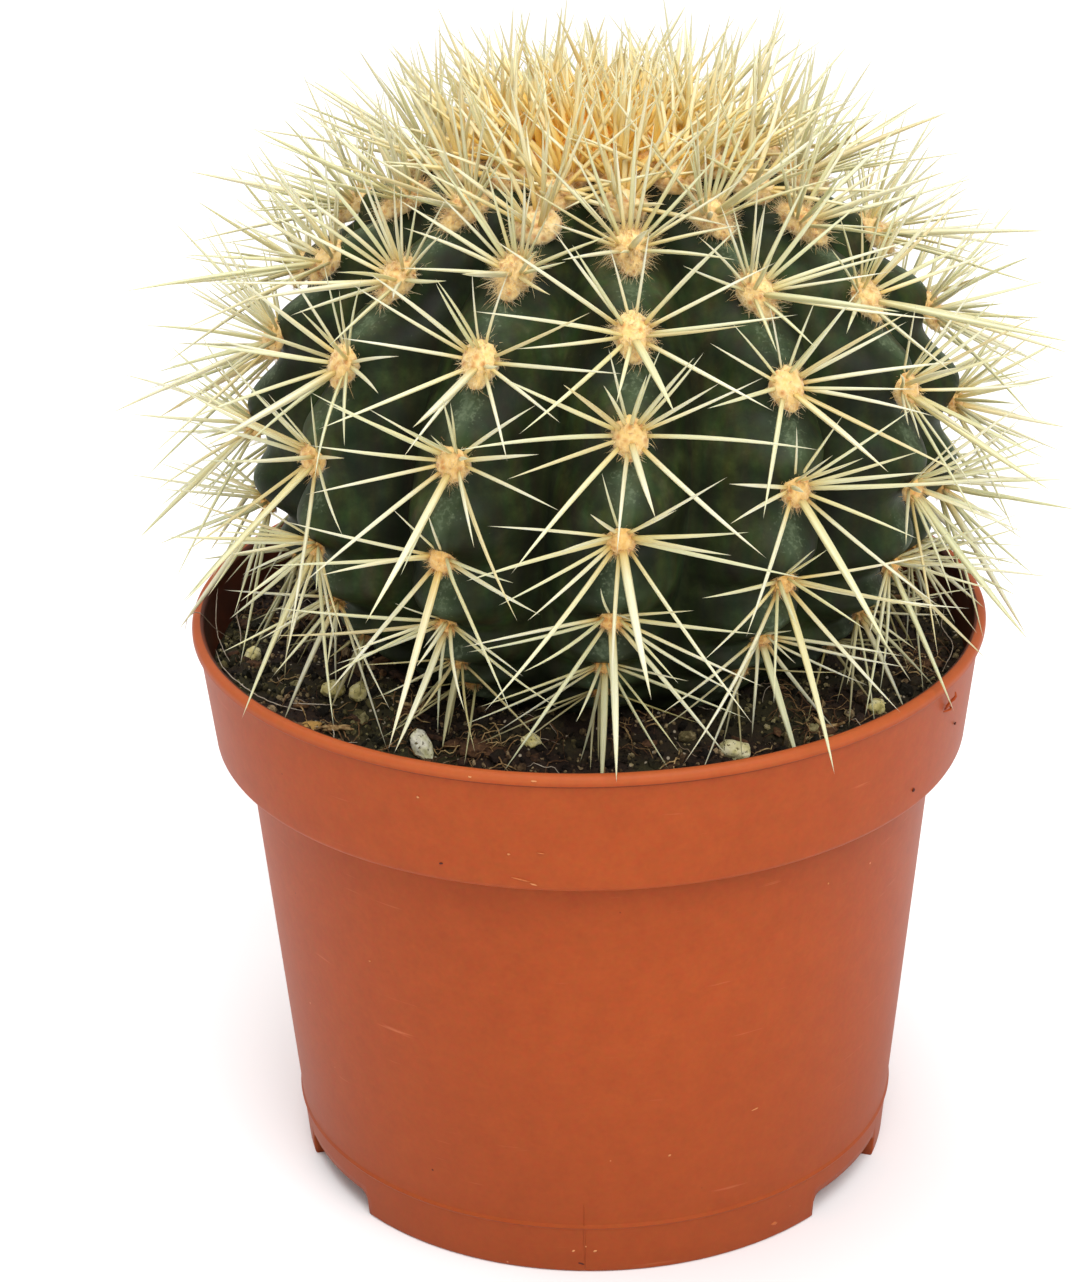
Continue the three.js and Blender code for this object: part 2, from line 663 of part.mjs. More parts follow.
function soil() {
  const wall = potInside.map(([radius, z]) => [radius - GAP, z + GAP]);
  const edgeShare = (SOIL_EDGE_Z - wall[2][1]) / (wall[3][1] - wall[2][1]);
  const outline = [
    [0, SOIL_STEM_Z],
    [SOIL_STEM_RADIUS, SOIL_STEM_Z],
    [(SOIL_STEM_RADIUS + SOIL_SHOULDER_RADIUS) / 2, (SOIL_STEM_Z + SOIL_SHOULDER_Z) / 2],
    [SOIL_SHOULDER_RADIUS, SOIL_SHOULDER_Z],
    [lerp(wall[2][0], wall[3][0], edgeShare), SOIL_EDGE_Z],
    [wall[2][0], wall[2][1]],
    [wall[1][0], wall[1][1]],
    [wall[0][0], wall[0][1]],
    [0, wall[0][1]],
  ];
  let block = solidOf(turned(outline)).subtract(stemHole());
  for (const grain of GRAINS) {
    block = block.subtract(solidOf(grainShape(grain, GAP)));
  }
  return block;
}

// An angular rounded pebble, lying flat and a third sunk in the soil.
function grainShape(grain, extra = 0) {
  const random = seededRandom(Math.round(100 * grain.radius + grain.turn + 500));
  const shape = new THREE.IcosahedronGeometry(1, 1);
  shape.deleteAttribute('normal');
  shape.deleteAttribute('uv');
  const pebble = mergeVertices(shape, 1e-4);
  const position = pebble.attributes.position;
  for (let i = 0; i < position.count; i++) {
    const size = grain.radius * (1 - GRAIN_ROUGHNESS * random()) + extra;
    position.setX(i, position.getX(i) * size);
    position.setY(i, position.getY(i) * size * GRAIN_WIDTH);
    position.setZ(i, position.getZ(i) * size * GRAIN_FLATNESS);
  }
  const place = grainCentre(grain);
  return pebble.rotateZ(rad(grain.turn)).translate(place.x, place.y, place.z);
}

// ---- The whole object ----

const plantInPot = new THREE.Group();

function addPiece(name, geometry, materialName) {
  const material = new THREE.MeshStandardMaterial(MATERIALS[materialName]);
  material.name = materialName;
  const piece = new THREE.Mesh(geometry, material);
  piece.name = name;
  plantInPot.add(piece);
}

addPiece('pot', geometryFromSolid(pot()), 'pot_plastic');
addPiece('soil', geometryFromSolid(soil()), 'soil_peat');
addPiece('cactus_stem', cactus(), 'stem_skin');
addPiece('crown_tuft', crown(), 'crown_straw');
GRAINS.forEach((grain, i) => {
  addPiece(`pumice_grain_${i + 1}`, grainShape(grain), 'pumice');
});

export default plantInPot;
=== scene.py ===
# %% [markdown]
# # A round cactus in its nursery pot
#
# This lesson dresses a plain solid model of a small barrel cactus. The solid model fixes every size
# and place; what is made here gives the plant its looks: waxy skin, woolly buds, more than a thousand
# spines, crumbly soil and the moulded plastic of the pot.
#
# Everything is built as mesh data in code, because a plant grows by rules, and rules are short to
# write down. The first step loads the solid model as a fixed frame that nothing may move.

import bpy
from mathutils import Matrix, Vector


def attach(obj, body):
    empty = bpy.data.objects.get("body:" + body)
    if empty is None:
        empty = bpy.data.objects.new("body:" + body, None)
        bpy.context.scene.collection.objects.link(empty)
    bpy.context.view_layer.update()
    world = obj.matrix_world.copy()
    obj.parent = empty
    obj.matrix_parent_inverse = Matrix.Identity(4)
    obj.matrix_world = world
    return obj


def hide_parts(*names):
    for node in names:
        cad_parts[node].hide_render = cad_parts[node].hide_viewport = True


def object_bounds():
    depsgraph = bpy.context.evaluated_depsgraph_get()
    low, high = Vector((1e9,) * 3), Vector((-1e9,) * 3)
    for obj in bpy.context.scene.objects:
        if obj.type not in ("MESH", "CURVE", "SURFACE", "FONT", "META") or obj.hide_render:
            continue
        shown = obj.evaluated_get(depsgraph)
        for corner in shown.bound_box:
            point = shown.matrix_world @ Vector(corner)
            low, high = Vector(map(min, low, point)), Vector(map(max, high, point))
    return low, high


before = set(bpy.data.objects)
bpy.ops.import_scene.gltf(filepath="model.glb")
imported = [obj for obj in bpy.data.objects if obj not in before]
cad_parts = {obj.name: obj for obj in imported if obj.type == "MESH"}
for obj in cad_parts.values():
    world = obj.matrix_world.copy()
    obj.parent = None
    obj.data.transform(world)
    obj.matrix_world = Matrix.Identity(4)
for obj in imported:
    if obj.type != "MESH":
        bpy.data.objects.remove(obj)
cad_box = [list(corner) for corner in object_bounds()]

import math

import bmesh
import bpy
import numpy as np
from mathutils import Matrix, Vector, noise

print("nodes:", ", ".join(sorted(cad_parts)))
print("size in mm:", [round(1000 * (high - low), 1) for low, high in zip(*cad_box)])

# %% [markdown]
# ## The camera
#
# The camera comes first, because every later choice is judged through it. A product photographer
# would stand half a metre away with a long lens and look down at the plant at about 25 degrees, so
# that the soil shows behind the pot's rim.
#
# The lens is slid sideways and up a little (the shift) instead of being turned, which keeps the pot's
# sides as they are in the view.

# %% Camera
MM = 0.001
IMAGE_WIDTH = 1084  # pixels of the finished picture
IMAGE_HEIGHT = 1282
FOCAL_PIXELS = 3411
VIEW_CENTRE = (590.4, 719.4)  # the pixel that the lens points at
AIM_HEIGHT = 70 * MM
CAMERA_DISTANCE = 524.7 * MM
CAMERA_TILT = 0.447  # radians below the horizon
CAMERA_ROLL = -0.013

camera = bpy.data.objects.new("camera", bpy.data.cameras.new("camera"))
bpy.context.scene.collection.objects.link(camera)
camera.data.sensor_fit = "HORIZONTAL"
camera.data.sensor_width = 36
camera.data.lens = camera.data.sensor_width * FOCAL_PIXELS / IMAGE_WIDTH
camera.data.shift_x = (IMAGE_WIDTH / 2 - VIEW_CENTRE[0]) / IMAGE_WIDTH
camera.data.shift_y = (VIEW_CENTRE[1] - IMAGE_HEIGHT / 2) / IMAGE_WIDTH
back = -math.cos(CAMERA_TILT) * CAMERA_DISTANCE
rise = math.sin(CAMERA_TILT) * CAMERA_DISTANCE
camera.matrix_world = (
    Matrix.Translation((0, back, AIM_HEIGHT + rise))
    @ Matrix.Rotation(math.pi / 2 - CAMERA_TILT, 4, "X")
    @ Matrix.Rotation(CAMERA_ROLL, 4, "Z")
)
bpy.context.scene.camera = camera
print("lens in mm:", round(camera.data.lens, 1))

# %% [markdown]
# ## Two helpers for materials
#
# Colours are read from pictures as sRGB hex values, but a shader calculates with linear light, so one
# function converts them. A second one adds a node with its settings and links in one call, which
# keeps each material readable from top to bottom.

# %% Colour and node helpers
def linear(hex_colour):
    """The linear RGBA colour of an sRGB hex value such as b8532c."""
    channels = [int(hex_colour[i:i + 2], 16) / 255 for i in (0, 2, 4)]
    bright = [c / 12.92 if c <= 0.04045 else ((c + 0.055) / 1.055) ** 2.4 for c in channels]
    return (*bright, 1)


def add_node(tree, kind, inputs=None, stops=None, **settings):
    """Adds a node. An input takes a value, or what feeds it: a socket, or a node for its result.

    The stops are the positions and colours of a colour ramp.
    """
    made = tree.nodes.new("ShaderNode" + kind)
    for name, value in settings.items():
        setattr(made, name, value)
    for name, value in (inputs or {}).items():
        if isinstance(value, bpy.types.Node):
            value = next(result for result in value.outputs if result.enabled)
        if isinstance(value, bpy.types.NodeSocket):
            tree.links.new(value, made.inputs[name])
        else:
            made.inputs[name].default_value = value
    for i, (position, colour) in enumerate(stops or []):
        ramp = made.color_ramp.elements
        stop = ramp[i] if i < 2 else ramp.new(position)
        stop.position = position
        stop.color = colour
    return made


# The sockets of a Mix node are reached by number: one pair mixes numbers, and another colours.
FACTOR, NUMBER_A, NUMBER_B, COLOUR_A, COLOUR_B = 0, 2, 3, 6, 7


def new_material(name, *point_values):
    """A material, its empty node tree, and a socket for each number that its nets keep for a point."""
    material = bpy.data.materials.new(name)
    material.use_nodes = True
    tree = material.node_tree
    tree.nodes.clear()
    sockets = [add_node(tree, "Attribute", attribute_name=value).outputs["Fac"]
               for value in point_values]
    return material, tree, *sockets


print("terracotta in linear light:", [round(c, 3) for c in linear("b8532c")])

# %% [markdown]
# ## Floor and light
#
# A plant photographed for a shop stands on a white sweep under soft boxes. A bright, even world
# stands in for the white room, one large soft light gives the waxy skin and the plastic their gentle
# highlights, and a smaller one fills the other side.
#
# The view transform is set to Standard, so that a hex colour in a material comes out as that colour
# in an evenly lit place.

# %% Floor, world and lights
FLOOR_SIZE = 8  # metres
KEY_LIGHT = {"place": (0.3, -0.75, 1.15), "size": 1.0, "power": 16}
FILL_LIGHT = {"place": (-0.25, 0.25, 1.4), "size": 1.2, "power": 13}
WORLD_STRENGTH = 0.6

bpy.context.scene.view_settings.view_transform = "Standard"

half = FLOOR_SIZE / 2
floor_mesh = bpy.data.meshes.new("floor")
floor_mesh.from_pydata([(-half, -half, 0), (half, -half, 0), (half, half, 0), (-half, half, 0)],
                       [], [(0, 1, 2, 3)])
floor = bpy.data.objects.new("floor", floor_mesh)
bpy.context.scene.collection.objects.link(floor)

paper, tree = new_material("matte_white_paper")
shader = add_node(tree, "BsdfPrincipled", {"Base Color": linear("f6f5f6"), "Roughness": 0.95})
add_node(tree, "OutputMaterial", {"Surface": shader})
floor_mesh.materials.append(paper)

world = bpy.data.worlds.new("white_room")
bpy.context.scene.world = world
world.use_nodes = True
world.node_tree.nodes["Background"].inputs["Color"].default_value = linear("fdfcfa")
world.node_tree.nodes["Background"].inputs["Strength"].default_value = WORLD_STRENGTH

for name, light in (("key_light", KEY_LIGHT), ("fill_light", FILL_LIGHT)):
    lamp = bpy.data.lights.new(name, "AREA")
    lamp.size = light["size"]
    lamp.energy = light["power"]
    lamp_object = bpy.data.objects.new(name, lamp)
    bpy.context.scene.collection.objects.link(lamp_object)
    lamp_object.location = light["place"]
    towards = Vector((0, 0, AIM_HEIGHT)) - lamp_object.location
    lamp_object.rotation_euler = towards.to_track_quat("-Z", "Y").to_euler()

# %% [markdown]
# ## Helpers for meshes
#
# Most of this object is thousands of small shapes: spines, hairs and crumbs. As separate objects
# they would be slow, so a Net collects their points and faces, and becomes one mesh at the end. It
# also keeps a few numbers for each point, such as how far along its spine the point lies, which the
# materials read as attributes.

# %% Nets of points and faces
class Net:
    """Points, faces and numbers for each point, gathered from many small shapes."""

    def __init__(self, *value_names):
        self.points = []
        self.faces = []
        self.values = {name: [] for name in value_names}
        self.count = 0

    def add(self, points, faces, **values):
        """Adds a shape. Each value is one number for all of it, or a list with one for each point."""
        self.points.append(np.asarray(points, float))
        self.faces.extend([tuple(self.count + i for i in face) for face in faces])
        for name in self.values:
            column = np.broadcast_to(np.asarray(values[name], float), len(points))
            self.values[name].append(column)
        self.count += len(points)


def add_piece(name, net, material, smooth=True):
    """Makes a mesh object from a net in millimetres, as a piece that stays with the pot."""
    mesh = bpy.data.meshes.new(name)
    mesh.from_pydata(np.concatenate(net.points) * MM, [], net.faces)
    for value_name, columns in net.values.items():
        attribute = mesh.attributes.new(value_name, "FLOAT", "POINT")
        attribute.data.foreach_set("value", np.concatenate(columns).astype(np.float32))
    mesh.polygons.foreach_set("use_smooth", [smooth] * len(mesh.polygons))
    mesh.materials.append(material)
    piece = bpy.data.objects.new(name, mesh)
    bpy.context.scene.collection.objects.link(piece)
    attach(piece, "root")
    print(f"{name}: {len(mesh.vertices)} points, {len(mesh.polygons)} faces")
    return piece


def grid_faces(rows, columns):
    """The four-sided faces of rows of points that each close into a ring."""
    faces = []
    for row in range(rows - 1):
        for column in range(columns):
            following = (column + 1) % columns
            faces.append((row * columns + column, (row + 1) * columns + column,
                          (row + 1) * columns + following, row * columns + following))
    return faces


def closed_faces(rows, columns, flip=False):
    """Rings of points, closed at both ends by two centre points that follow them."""
    faces = grid_faces(rows, columns)
    first, last = rows * columns, rows * columns + 1
    last_row = (rows - 1) * columns
    for column in range(columns):
        following = (column + 1) % columns
        faces.append((first, column, following))
        faces.append((last, last_row + following, last_row + column))
    return [tuple(reversed(face)) for face in faces] if flip else faces


def level_ring(radius, z, columns, centre_x=0.0):
    """A level ring of points round an upright axis."""
    return outward(np.arange(columns) * 360 / columns) * radius + (centre_x, 0, z)


def smoothstep(value, low, high):
    """0 up to low, 1 from high on, and a smooth rise between them."""
    share = np.clip((np.asarray(value, float) - low) / (high - low), 0, 1)
    return share * share * (3 - 2 * share)


def outward(azimuth):
    """The level direction of an azimuth in degrees: 0 faces the camera and 90 faces +X."""
    angle = np.radians(azimuth)
    return np.stack([np.sin(angle), -np.cos(angle), np.zeros_like(angle)], axis=-1)


def unit(vector):
    """A vector, or each vector of a list, with its length made 1."""
    return vector / np.linalg.norm(vector, axis=-1, keepdims=True)


UP = np.array([0.0, 0.0, 1.0])
print("faces between two rings of six points:", len(grid_faces(2, 6)))

# %% [markdown]
# ## The pot
#
# The pot is injection-moulded polypropylene with a 120 mm rim. A deep collar makes it stiff and lets
# pots stack, a thin bead runs round the rim, and three notches in the foot ring let water out.
#
# It could be a lathe shape with boolean cuts, but a boolean leaves long thin faces that shade badly.
# Here the outline is turned round the axis with columns of points that follow the notches' own
# outline, so the notches are part of the turned net. Only the drain holes in the flat floor are cut.
#
# First the outline. Its corners are given as radius and height, and one function rounds each of them
# with an arc, as a mould maker would.

# %% Pot outline
POT_HEIGHT = 90
RIM_RADIUS = 60
LIP_HEIGHT = 1.6
LIP_THICKNESS = 1.9
COLLAR_FOOT_Z = POT_HEIGHT - 19.4
COLLAR_TOP_RADIUS = 59.4
COLLAR_FOOT_RADIUS = 57.1
BODY_TOP_RADIUS = 52.7
BODY_FOOT_RADIUS = 46.3
WALL = 1.2
PARTING_LINE_Z = 8.5
FLOOR_UNDERSIDE_Z = 4.6
FLOOR_TOP_Z = 6.1
FOOT_RING_INNER = BODY_FOOT_RADIUS - 2.7


def body_radius(z):
    """Outer radius of the tapering body at a height."""
    return BODY_FOOT_RADIUS + (BODY_TOP_RADIUS - BODY_FOOT_RADIUS) * z / COLLAR_FOOT_Z


# Each corner: radius, height, and the radius of its rounding. They run from the middle of the floor
# up the inside, over the rim and down the outside to the foot.
POT_CORNERS = [
    (0, FLOOR_TOP_Z, 0),
    (body_radius(FLOOR_TOP_Z) - WALL, FLOOR_TOP_Z, 1),
    (BODY_TOP_RADIUS - WALL, COLLAR_FOOT_Z + WALL / 2, 1),
    (COLLAR_FOOT_RADIUS - WALL, COLLAR_FOOT_Z + 1.5 * WALL, 0.8),
    (COLLAR_TOP_RADIUS - WALL, POT_HEIGHT - LIP_HEIGHT, 0.3),
    (RIM_RADIUS - LIP_THICKNESS, POT_HEIGHT, 0.7),
    (RIM_RADIUS, POT_HEIGHT, 0.9),
    (RIM_RADIUS, POT_HEIGHT - LIP_HEIGHT, 0.3),
    (COLLAR_TOP_RADIUS - 0.15, POT_HEIGHT - LIP_HEIGHT - 0.1, 0.15),
    (COLLAR_FOOT_RADIUS, COLLAR_FOOT_Z, 1.1),
    (body_radius(COLLAR_FOOT_Z), COLLAR_FOOT_Z, 0.5),
    (body_radius(PARTING_LINE_Z + 0.5), PARTING_LINE_Z + 0.5, 0.2),
    (body_radius(PARTING_LINE_Z) + 0.3, PARTING_LINE_Z, 0.1),
    (body_radius(PARTING_LINE_Z - 0.45), PARTING_LINE_Z - 0.45, 0.2),
    (BODY_FOOT_RADIUS, 0, 0.5),
    (FOOT_RING_INNER, 0, 0.5),
    (FOOT_RING_INNER, FLOOR_UNDERSIDE_Z, 0.3),
    (0, FLOOR_UNDERSIDE_Z, 0),
]
LONGEST_STEP = 3.0  # the outline is divided so that no stretch of it is longer


def rounded_outline(corners, arc_steps=5):
    """The outline with an arc at each corner, as an array of radius and height."""
    points = [np.array(corner[:2], float) for corner in corners]
    outline = [points[0]]
    for before, here, after, corner in zip(points, points[1:], points[2:], corners[1:]):
        to_before, to_after = unit(before - here), unit(after - here)
        half_turn = math.acos(np.clip(np.dot(to_before, to_after), -1, 1)) / 2
        reach = corner[2] / math.tan(half_turn)
        centre = here + unit(to_before + to_after) * corner[2] / math.sin(half_turn)
        start, end = here + to_before * reach, here + to_after * reach
        for step in range(arc_steps + 1):
            spoke = (start + (end - start) * step / arc_steps) - centre
            outline.append(centre + unit(spoke) * corner[2])
    outline.append(points[-1])
    divided = [outline[0]]
    for point in outline[1:]:
        steps = max(1, math.ceil(np.linalg.norm(point - divided[-1]) / LONGEST_STEP))
        start = divided[-1]
        divided.extend(start + (point - start) * step / steps for step in range(1, steps + 1))
    return np.array(divided)


pot_outline = rounded_outline(POT_CORNERS)
print("points in the pot's outline:", len(pot_outline))

# %% [markdown]
# Each notch is a slot with round upper corners. Its height over the floor is a formula of the
# distance from its middle, and every point of the foot that lies lower than that is lifted to it.
# Extra columns of points stand at the slot's corners, so its outline stays crisp.

# %% Pot mesh
NOTCH_AZIMUTHS = (58.2, 178.2, 298.2)
NOTCH_HALF_WIDTH = 10
NOTCH_HEIGHT = 4.2
NOTCH_CORNER = 1.6
NOTCH_EDGE = 0.03  # from a notch's side to the next column, so that the side is upright
DRAIN_HOLE_RADIUS = 5
DRAIN_HOLE_CIRCLE = 26
POT_COLUMNS = 240
RIM_WOBBLE = 0.12  # a moulded rim is never a perfect circle
WOBBLE_FOOT_Z = 60  # below this the wall is round
FAR_AWAY = 99


def notch_height(distance):
    """How high the foot is cut away, at a distance across the notch from its middle."""
    into_corner = np.clip(np.abs(distance) - NOTCH_HALF_WIDTH + NOTCH_CORNER, 0, NOTCH_CORNER)
    top = NOTCH_HEIGHT - NOTCH_CORNER + np.sqrt(NOTCH_CORNER ** 2 - into_corner ** 2)
    return np.where(np.abs(distance) <= NOTCH_HALF_WIDTH, top, 0)


corner_spots = [NOTCH_HALF_WIDTH - NOTCH_CORNER * (1 - math.sin(math.radians(a)))
                for a in range(0, 91, 15)]
corner_spots.append(NOTCH_HALF_WIDTH + NOTCH_EDGE)
notch_offsets = [math.degrees(math.asin(s / BODY_FOOT_RADIUS)) for s in corner_spots]
azimuths = {round(i * 360 / POT_COLUMNS, 3) for i in range(POT_COLUMNS)}
azimuths |= {round(a + side * o, 3) for a in NOTCH_AZIMUTHS for o in notch_offsets for side in (-1, 1)}
azimuths = np.array(sorted(azimuths))

rows = []
for radius, height in pot_outline[1:-1]:
    lifted = np.full(len(azimuths), height)
    if height < NOTCH_HEIGHT and radius > FOOT_RING_INNER - 1:
        for middle in NOTCH_AZIMUTHS:
            turn = (azimuths - middle + 180) % 360 - 180
            across = BODY_FOOT_RADIUS * np.sin(np.radians(turn))
            distance = np.where(np.abs(turn) < 30, across, FAR_AWAY)
            lifted = np.maximum(lifted, notch_height(distance))
    oval = np.cos(np.radians(2 * azimuths + 50)) - 1
    wobble = RIM_WOBBLE * smoothstep(height, WOBBLE_FOOT_Z, POT_HEIGHT) * oval
    row = outward(azimuths) * (radius + wobble)[:, None]
    row[:, 2] = lifted
    rows.append(row)

pot_net = Net("inside")
centres = [(0, 0, FLOOR_TOP_Z), (0, 0, FLOOR_UNDERSIDE_Z)]
rim_row = int(np.argmax(pot_outline[1:-1, 1]))  # the first row that lies on top of the rim
is_inside = np.repeat(np.arange(len(rows)) < rim_row, len(azimuths))
pot_net.add(np.concatenate([*rows, centres]), closed_faces(len(rows), len(azimuths)),
            inside=np.append(is_inside, (1, 0)))
print("points in the pot's net:", pot_net.count)

# %% [markdown]
# ### Terracotta-coloured polypropylene
#
# The plastic is coloured through and comes out of a polished mould with a satin skin. What the eye
# catches is a soft sheen, a very fine orange-peel and faint clouds where the pigment is uneven. It
# could be painted as an image, but noises of three sizes look even from all sides.

# %% Plain plastic
PIGMENT_CLOUD = 45 * MM
MOTTLE = 4 * MM  # faint marbling inside the clouds
ORANGE_PEEL = 0.9 * MM  # finer in life; drawn this coarse so that it shows

pot_plastic, tree, inside = new_material("moulded_terracotta_polypropylene", "inside")
place = add_node(tree, "TexCoord").outputs["Object"]
cloud = add_node(tree, "TexNoise", {"Vector": place, "Scale": 1 / PIGMENT_CLOUD, "Detail": 4})
mottle = add_node(tree, "TexNoise", {"Vector": place, "Scale": 1 / MOTTLE, "Detail": 4,
                                     "Roughness": 0.7})
grain = add_node(tree, "TexNoise", {"Vector": place, "Scale": 1 / ORANGE_PEEL, "Detail": 2})
body = add_node(tree, "Mix", {FACTOR: cloud, COLOUR_A: linear("954017"),
                              COLOUR_B: linear("a4491e")}, data_type="RGBA")
patchy = add_node(tree, "Mix", {FACTOR: 0.22, COLOUR_A: body, COLOUR_B: mottle},
                  data_type="RGBA", blend_type="SOFT_LIGHT")
mottled = add_node(tree, "Mix", {FACTOR: 0.2, COLOUR_A: patchy, COLOUR_B: grain.outputs["Color"]},
                   data_type="RGBA", blend_type="SOFT_LIGHT")
print("nodes of the plain plastic:", len(tree.nodes))

# %% [markdown]
# Use leaves its marks: dark and pale specks, scuffs that run round the pot and a film of peat
# inside. Painted light is laid on as well: painted shade inside the pot, low on the wall, in the
# groove under the bead and in the corner under the collar, and a painted highlight on the bead. A
# few nodes for each work out its share, which is how densely it covers a point: 0 where it isn't,
# and up to 1.

# %% Specks, scuffs, peat film and painted light
SPECK_SPACING = 4 * MM
SCUFF_SCALE = (60, 60, 900)  # per metre, so the noise is long round the pot and thin up the wall
SOIL_FILM = 9 * MM

# Specks: small round cells, some pale and some dark.
cells = add_node(tree, "TexVoronoi", {"Vector": place, "Scale": 1 / SPECK_SPACING})
near = add_node(tree, "MapRange", {"Value": cells, "From Min": 0.05, "From Max": 0.03})
kind = add_node(tree, "SeparateColor", {"Color": cells.outputs["Color"]})
is_dark = add_node(tree, "Math", {0: kind.outputs["Red"], 1: 0.86}, operation="GREATER_THAN")
is_pale = add_node(tree, "Math", {0: kind.outputs["Green"], 1: 0.9}, operation="GREATER_THAN")
dark = add_node(tree, "Math", {0: near, 1: is_dark}, operation="MULTIPLY")
pale = add_node(tree, "Math", {0: near, 1: is_pale}, operation="MULTIPLY")
stretched = add_node(tree, "Mapping", {"Vector": place, "Scale": SCUFF_SCALE})
scuff_noise = add_node(tree, "TexNoise", {"Vector": stretched, "Scale": 1, "Detail": 3})
scuffs = add_node(tree, "MapRange", {"Value": scuff_noise, "From Min": 0.7, "From Max": 0.9})
# Inside, a dark, patchy film on the wall is partly peat and partly painted shade inside the pot.
patches = add_node(tree, "TexNoise", {"Vector": place, "Scale": 1 / SOIL_FILM, "Detail": 5})
film = add_node(tree, "MapRange", {"Value": patches, "From Min": 0.3,
                                   "From Max": 0.6, "To Min": 0.6, "To Max": 0.9})
peat_film_and_painted_shade = add_node(tree, "Math", {0: film, 1: inside}, operation="MULTIPLY")
# Painted shade darkens the colour a little low down the wall.
height = add_node(tree, "SeparateXYZ", {"Vector": place}).outputs["Z"]
painted_low_shade_and_age = add_node(tree, "MapRange", {"Value": height, "From Min": 50 * MM, "From Max": 0,
                                     "To Max": 0.3})
# A painted highlight lightens the bead round the rim, and painted shade darkens the groove under it.
on_bead = add_node(tree, "MapRange", {"Value": height, "From Min": (POT_HEIGHT - 1.3) * MM,
                                      "From Max": (POT_HEIGHT - 0.8) * MM, "To Max": 0.3})
outside = add_node(tree, "Math", {0: 1, 1: inside}, operation="SUBTRACT")
painted_highlight = add_node(tree, "Math", {0: on_bead, 1: outside}, operation="MULTIPLY")
in_groove = add_node(tree, "Math", {0: height, 1: (POT_HEIGHT - LIP_HEIGHT - 0.15) * MM,
                                    2: 0.28 * MM}, operation="COMPARE")
painted_groove_shade = add_node(tree, "Math", {0: in_groove, 1: 0.55}, operation="MULTIPLY")
# Painted shade darkens the corner under the collar, the darkest line on the wall.
towards_collar = add_node(tree, "MapRange", {"Value": height, "From Min": (COLLAR_FOOT_Z - 3) * MM,
                                             "From Max": COLLAR_FOOT_Z * MM, "To Max": 0.5})
below_collar = add_node(tree, "Math", {0: height, 1: (COLLAR_FOOT_Z + 0.15) * MM},
                        operation="LESS_THAN")
painted_collar_shade = add_node(tree, "Math", {0: towards_collar, 1: below_collar}, operation="MULTIPLY")
print("nodes with specks and wear:", len(tree.nodes))

# %% [markdown]
# The colours are laid over the plastic one by one, like thin coats of paint, and each covers what its
# share says. Satin plastic is a little rougher where the pigment is lighter, and the orange-peel is a
# bump of a few hundredths of a millimetre.

# %% Pot material
# Of these coats, the inner film is partly painted shade, the lower wall, groove and collar corner take
# painted shade, and the bead a painted highlight.
colour = mottled
for share, coat in ((dark, "6b2c16"), (pale, "cf8a62"), (scuffs, "cf7650"), (peat_film_and_painted_shade, "432b25"),
                    (painted_low_shade_and_age, "7d3c20"), (painted_highlight, "c06a40"), (painted_groove_shade, "5e2612"),
                    (painted_collar_shade, "74300f")):
    colour = add_node(tree, "Mix", {FACTOR: share, COLOUR_A: colour, COLOUR_B: linear(coat)},
                      data_type="RGBA")
satin = add_node(tree, "MapRange", {"Value": cloud, "To Min": 0.4, "To Max": 0.56})
peel = add_node(tree, "Bump", {"Height": grain, "Strength": 0.12, "Distance": 0.05 * MM})
shader = add_node(tree, "BsdfPrincipled", {
    "Base Color": colour, "Roughness": satin, "IOR": 1.49,
    "Specular IOR Level": 0.14, "Normal": peel})
add_node(tree, "OutputMaterial", {"Surface": shader})

pot = add_piece("terracotta_pot", pot_net, pot_plastic)
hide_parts("pot")

# %% [markdown]
# The drain holes go through the flat floor, one in line with each notch. A cutter object takes them
# out with a boolean, which is safe here because the faces it cuts are flat.

# %% Drain holes
DRAIN_HOLE_SIDES = 32
PAST_FLOOR = 2  # how far the cutter goes past the floor's two faces

cutter_net = Net()
sides = DRAIN_HOLE_SIDES
for azimuth in NOTCH_AZIMUTHS:
    circle = level_ring(DRAIN_HOLE_RADIUS, 0, sides)
    middle = outward(azimuth) * DRAIN_HOLE_CIRCLE
    low = circle + middle + UP * (FLOOR_UNDERSIDE_Z - PAST_FLOOR)
    high = circle + middle + UP * (FLOOR_TOP_Z + PAST_FLOOR)
    cutter_faces = [(i, (i + 1) % sides, sides + (i + 1) % sides, sides + i) for i in range(sides)]
    cutter_faces += [tuple(reversed(range(sides))), tuple(range(sides, 2 * sides))]
    cutter_net.add(np.concatenate([low, high]), cutter_faces)
cutter_mesh = bpy.data.meshes.new("drain_cutter")
cutter_mesh.from_pydata(np.concatenate(cutter_net.points) * MM, [], cutter_net.faces)
cutter = bpy.data.objects.new("drain_cutter", cutter_mesh)
bpy.context.scene.collection.objects.link(cutter)

cut = pot.modifiers.new("drain_holes", "BOOLEAN")
cut.object = cutter
cut.operation = "DIFFERENCE"
bpy.context.view_layer.update()
depsgraph = bpy.context.evaluated_depsgraph_get()
cut_mesh = bpy.data.meshes.new_from_object(pot.evaluated_get(depsgraph))
pot.modifiers.remove(cut)
pot.data = cut_mesh
bpy.data.objects.remove(cutter)
print("pot faces after cutting:", len(pot.data.polygons))

# %% [markdown]
# ## How a ribbed stem grows
#
# The stem is a globe with thirteen ribs. Each rib carries a row of areoles, the woolly buds that
# spines grow from. New areoles form at the crown and are carried down the rib as the plant grows, so
# they stand close together at the top and far apart over the shoulder, and the oldest, near the
# soil, stand closer again.
#
# The globe could be sculpted, but a plant this regular is easier as a formula. A latitude and an
# azimuth give a place on an upright ellipsoid, and each rib knows the latitudes of its own areoles.

